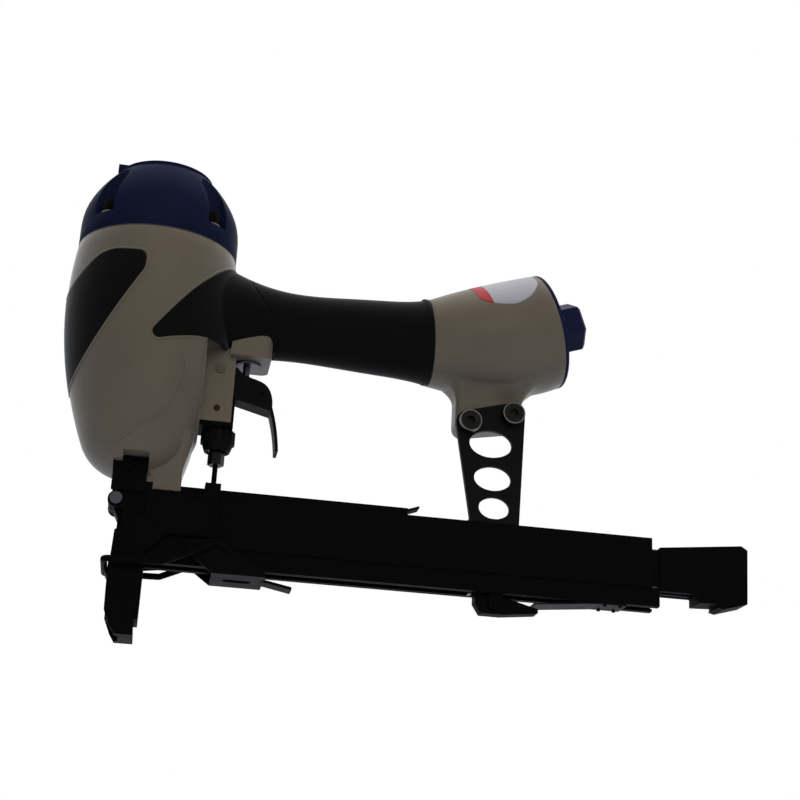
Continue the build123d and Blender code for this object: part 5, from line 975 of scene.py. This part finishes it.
@dataclass
class RearTrim:
    """Rear barrel: lip of the grip's end, blank label, inlet thread.

    Attributes:
        wardrobe: Finishes.
        rise: Rise of the inlet's axis in degrees.
        mouth: Centre of the inlet's mouth in millimetres.
        bore: Radius of the inlet's bore.
        thread_length: Length of the thread.
        thread_start: Depth of the thread's first turn.
        pitch: Pitch of the thread.
        ridge: Half width and height of the thread's ridge.
        sections: X, height, radius and lean in degrees of circles of the rear barrel.
        skin_gap: How far off the barrel the film is laid before it is drawn on to it.
        label_edge: X and angle up from the near side in degrees along the label's lower edge.
        label_top: Angle of the label's upper edge in degrees.
        label_split: X where the label's tip ends and where its field starts.
        film: Gap under the label film and its thickness.
        lip_place: X and height of the middle of the grip's end.
        lip_half: Half width and half height of the grip's end.
        lip_lean: Lean of the grip's end in degrees.
        lip_size: Half width and height of the lip.
    """

    wardrobe: Wardrobe
    rise: float = 18.9
    mouth: tuple[float, float, float] = (226.0, 0.0, 188.408)
    bore: float = 5.7
    thread_length: float = 11.0
    thread_start: float = 0.8
    pitch: float = 1.4
    ridge: tuple[float, float] = (0.42, 0.62)
    sections: tuple[tuple[float, float, float, float], ...] = (
        (147.0, 169.3, 23.8, 0.0), (166.5, 170.8, 28.4, 13.3), (206.7, 181.8, 30.8, 18.9),
    )
    skin_gap: float = 0.4
    label_edge: tuple[tuple[float, float], ...] = (
        (170.3, 42.0), (171.0, 34.0), (172.2, 29.0), (176.7, 23.0), (182.5, 19.0), (189.2, 17.5),
        (194.7, 21.0), (199.0, 26.5), (203.2, 36.5), (204.6, 46.0),
    )
    label_top: float = 84.0
    label_split: tuple[float, float] = (177.0, 177.05)
    film: tuple[float, float] = (0.05, 0.08)
    lip_place: tuple[float, float] = (142.6, 168.7)
    lip_half: tuple[float, float] = (22.1, 22.5)
    lip_lean: float = 5.0
    lip_size: tuple[float, float] = (1.2, 0.35)

    def grip_lip(self) -> bpy.types.Object:
        """Rounded lip at the grip's leaning rear end: a bead on an ellipse."""
        turn = np.linspace(0.0, tau, 160, endpoint=False)
        up, out = np.sin(turn), np.cos(turn)
        x = self.lip_place[0] - self.lip_half[1] * up * np.tan(radians(self.lip_lean))
        z = self.lip_place[1] + self.lip_half[1] * up
        path = np.stack([x, self.lip_half[0] * out, z], axis=-1)
        normal = np.stack([np.zeros_like(turn), out, up], axis=-1)
        return bead("grip_end_lip", path, normal, *self.lip_size, True, 16)

    def skin(self, along: np.ndarray, angle: np.ndarray) -> np.ndarray:
        """Points just off the rear barrel: circles that follow parabolas along X.

        Args:
            along: X of the circles' centres in millimetres.
            angle: Angle up from the near side in radians, of the same shape.

        Returns:
            Array of the same shape with a last axis of 3.
        """
        stations = np.array(self.sections)
        height, radius, lean = (
            np.polyval(np.polyfit(stations[:, 0], stations[:, column], 2), along)
            for column in (1, 2, 3)
        )
        radius = radius + self.skin_gap
        x = along - radius * np.sin(angle) * np.sin(np.radians(lean))
        z = height + radius * np.sin(angle) * np.cos(np.radians(lean))
        return np.stack([x, -radius * np.cos(angle), z], axis=-1)

    def label(self, name: str, start: float, stop: float) -> bpy.types.Object:
        """Piece of the blank label film between two X values, drawn on to the casting's skin.

        Args:
            name: Name of the object.
            start: First X in millimetres.
            stop: Last X in millimetres.

        Returns:
            The film with its thickness.
        """
        edge = smooth(self.label_edge)
        along = np.linspace(start, stop, 72)
        low = np.interp(along, edge[:, 0], edge[:, 1])
        share = np.linspace(0.0, 1.0, 30)[None, :]
        angle = np.radians(low[:, None] * (1 - share) + self.label_top * share)
        points = self.skin(np.broadcast_to(along[:, None], angle.shape), angle)
        film = grid_piece(name, points[:, ::-1] * MM)
        wrap = film.modifiers.new("on_skin", "SHRINKWRAP")
        wrap.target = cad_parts["gun_body"]
        wrap.wrap_method = "NEAREST_SURFACEPOINT"
        wrap.wrap_mode = "OUTSIDE_SURFACE"
        wrap.offset = self.film[0] * MM
        thick = film.modifiers.new("film", "SOLIDIFY")
        thick.thickness = self.film[1] * MM
        return film

    def thread(self) -> bpy.types.Object:
        """Thread of the inlet: a ridge that runs round the bore and along it, one pitch a turn."""
        axis = np.array([cos(radians(self.rise)), 0.0, sin(radians(self.rise))])
        across = np.array([0.0, 1.0, 0.0])
        third = np.cross(axis, across)
        turns = self.thread_length / self.pitch
        turn = np.linspace(0.0, turns * tau, int(turns * 40))
        radial = np.cos(turn)[:, None] * across + np.sin(turn)[:, None] * third
        along = (self.thread_start + self.pitch * turn / tau)[:, None]
        path = np.array(self.mouth) - axis * along + radial * (self.bore + 0.1)
        return bead("inlet_thread", path, -radial, *self.ridge, False, 8)

    def build(self) -> None:
        """Builds the lip, the two colours of the label and the thread."""
        first, last = self.label_edge[0][0], self.label_edge[-1][0]
        tip_end, field_start = self.label_split
        made = {
            RUBBER: self.grip_lip(),
            LABEL_RED: self.label("label_tip", first, tip_end),
            LABEL_WHITE: self.label("label_field", field_start, last),
            ANODISED: self.thread(),
        }
        for finish, piece in made.items():
            self.wardrobe.wear(piece, finish)
            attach(piece, "gun")
            log.info("built %s", piece.name)


@dataclass
class ScrewRims:
    """Bright turned rims round the heads of the bracket's two screws.

    Attributes:
        wardrobe: Finishes.
        places: X and Z of the screws in millimetres.
        face: Y of the heads' faces.
        depth: Height of the heads.
        radius: Radius of the heads.
        play: Gap between a head and its rim.
        lip: Half width and height of the rim's rounded lip.
        lip_place: How far in from the wall and how high above the face the lip's middle lies.
        sunk: How far the lip reaches down over the head's edge.
        flare: How far the rim's foot spreads.
    """

    wardrobe: Wardrobe
    places: tuple[tuple[float, float], ...] = ((166.5, 123.8), (189.0, 130.1))
    face: float = -13.2
    depth: float = 4.0
    radius: float = 5.5
    play: float = 0.06
    lip: tuple[float, float] = (0.42, 0.4)
    lip_place: tuple[float, float] = (0.12, 0.1)
    sunk: float = 0.2
    flare: float = 0.3

    def build(self) -> None:
        """Builds one rim per screw: a cup wall round the head with a rounded lip over its edge."""
        wall, (width, height) = self.radius + self.play, self.lip
        inset, above = self.lip_place
        turn = np.linspace(0.0, pi, 9)
        radii = wall - inset + width * np.cos(turn)
        lip = np.stack([radii, above + height * np.sin(turn)], axis=-1)
        inner = [[wall - inset - width, -self.sunk], [wall, -self.sunk]]
        foot = np.array(inner + [[wall, -self.depth], [wall + self.flare, -self.depth]])
        profile = np.vstack([lip, foot])
        for number, (x, z) in enumerate(self.places):
            rim = lathe(f"bracket_screw_rim_{number}", profile, (x, self.face, z), (0.0, -1.0, 0.0))
            self.wardrobe.wear(rim, BRIGHT_RIM)
            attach(rim, "gun")
            log.info("built %s", rim.name)


@dataclass
class TripTrim:
    """Raised edge of the contact arm's panel and ribs of its foot.

    Attributes:
        wardrobe: Finishes.
        face: Y of the arm's near face.
        edge: Run of the panel's raised edge in the side view.
        ribs: Top and bottom of the foot's ribs in the side view, by name.
        size: Half width and height of the edge and the ribs.
    """

    wardrobe: Wardrobe
    face: float = -12.4
    edge: tuple[tuple[float, float], ...] = (
        (9.4, 69.9), (20.0, 70.2), (30.0, 70.2), (38.0, 70.0), (41.2, 68.4), (42.2, 65.0),
        (42.3, 58.0), (41.6, 54.0), (38.6, 51.3), (33.0, 50.8), (21.0, 50.8), (15.0, 46.6),
    )
    ribs: tuple[tuple[str, tuple[tuple[float, float], ...]], ...] = (
        ("foot_rib_front", ((-2.4, 47.0), (-2.6, 14.0))),
        ("foot_rib_rear", ((3.4, 55.0), (3.2, 6.0))),
    )
    size: tuple[float, float] = (0.6, 0.5)

    def build(self) -> None:
        """Builds the edge as a bead and the ribs on the foot, all on the arm's flat face."""
        runs = {"panel_edge": smooth(self.edge)}
        runs |= {name: np.array(ends) for name, ends in self.ribs}
        for name, run in runs.items():
            side = resample(run, 120)
            path = np.stack([side[:, 0], np.full(len(side), self.face), side[:, 1]], axis=-1)
            normal = np.tile((0.0, -1.0, 0.0), (len(side), 1))
            piece = bead(name, path, normal, *self.size, False)
            self.wardrobe.wear(piece, BLACK_STEEL)
            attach(piece, "trip")
            log.info("built %s", piece.name)


@dataclass(frozen=True)
class Coil:
    """One compression spring of round wire.

    Attributes:
        node: Frame node that the coil stands for.
        joint: Joint that presses it; not used.
        travel: How far the joint presses it in millimetres; not used.
        centre: X of its axis, which is upright on Y nought.
        span: Heights of its moving end and its fixed end.
        outer: Outer radius.
        wire: Radius of the wire.
        turns: Number of turns.
        flat: Share of the wire at each end that lies flat.
    """

    node: str
    joint: str
    travel: float
    centre: float
    span: tuple[float, float]
    outer: float
    wire: float
    turns: float
    flat: float = 0.09

    def build(self) -> bpy.types.Object:
        """Wire carried up a helix whose two ends lie flat."""
        share = np.linspace(0.0, 1.0, int(self.turns * 48))
        rise = np.clip((share - self.flat) / (1 - 2 * self.flat), 0.0, 1.0)
        turn = share * self.turns * tau
        radial = np.stack([np.cos(turn), np.sin(turn), np.zeros_like(turn)], axis=-1)
        low, high = self.span[0] + self.wire, self.span[1] - self.wire
        x, z = np.full_like(turn, self.centre), low + (high - low) * rise
        path = radial * (self.outer - self.wire) + np.stack([x, np.zeros_like(turn), z], axis=-1)
        name = f"{self.node}_coil"
        coil = bead(name, path, radial, self.wire, self.wire, False, sides=10, tip=400.0)
        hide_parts(self.node)
        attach(coil, "gun")
        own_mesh(coil)
        return coil


@dataclass
class Springs:
    """Springs that the moving pieces press.

    Attributes:
        wardrobe: Finishes.
        coils: The coil springs.
        leaf_bend: X where the leaf leaves its rivets and where it rests on the latch; not used.
        leaf_height: Height of the leaf's middle; not used.
    """

    wardrobe: Wardrobe
    coils: tuple[Coil, ...] = (
        Coil("head_valve_spring", "head_valve_lift", 5.0, 0.0, (208.2, 234.9), 18.0, 1.1, 6.5),
        Coil("valve_spring", "plunger_lift", 3.6, 51.0, (151.3, 156.7), 3.0, 0.25, 3.5),
        Coil("trip_spring", "trip_lift", 6.5, 39.8, (96.8, 105.7), 4.4, 0.35, 3.5),
    )
    leaf_bend: tuple[float, float] = (234.0, 206.0)
    leaf_height: float = 34.4

    def leaf(self) -> bpy.types.Object:
        """Leaf of the release latch: the frame's leaf copied with its facets joined."""
        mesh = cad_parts["latch_leaf"].data.copy()
        mesh.name = "latch_leaf_spring"
        work = bmesh.new()
        work.from_mesh(mesh)
        bmesh.ops.remove_doubles(work, verts=work.verts, dist=COPY_GAP)
        work.to_mesh(mesh)
        work.free()
        mesh.materials.clear()
        leaf = bpy.data.objects.new("latch_leaf_spring", mesh)
        bpy.context.scene.collection.objects.link(leaf)
        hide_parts("latch_leaf")
        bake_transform(leaf)
        return leaf

    def build(self) -> None:
        """Builds the coils and the leaf."""
        made = {coil.build(): ZINC for coil in self.coils} | {self.leaf(): SPRING_STEEL}
        for piece, finish in made.items():
            self.wardrobe.wear(piece, finish)
            log.info("built %s", piece.name)


def main() -> None:
    """Builds the studio, dresses the frame and adds the new pieces."""
    logging.basicConfig(level=logging.INFO, format="%(message)s")
    wardrobe = Wardrobe()
    wardrobe.dress_nodes(DRESSES)
    for trim in (HeadTrim, RearTrim, ScrewRims, TripTrim, Springs):
        trim(wardrobe).build()
    Studio().build()


if __name__ == "__main__":
    main()
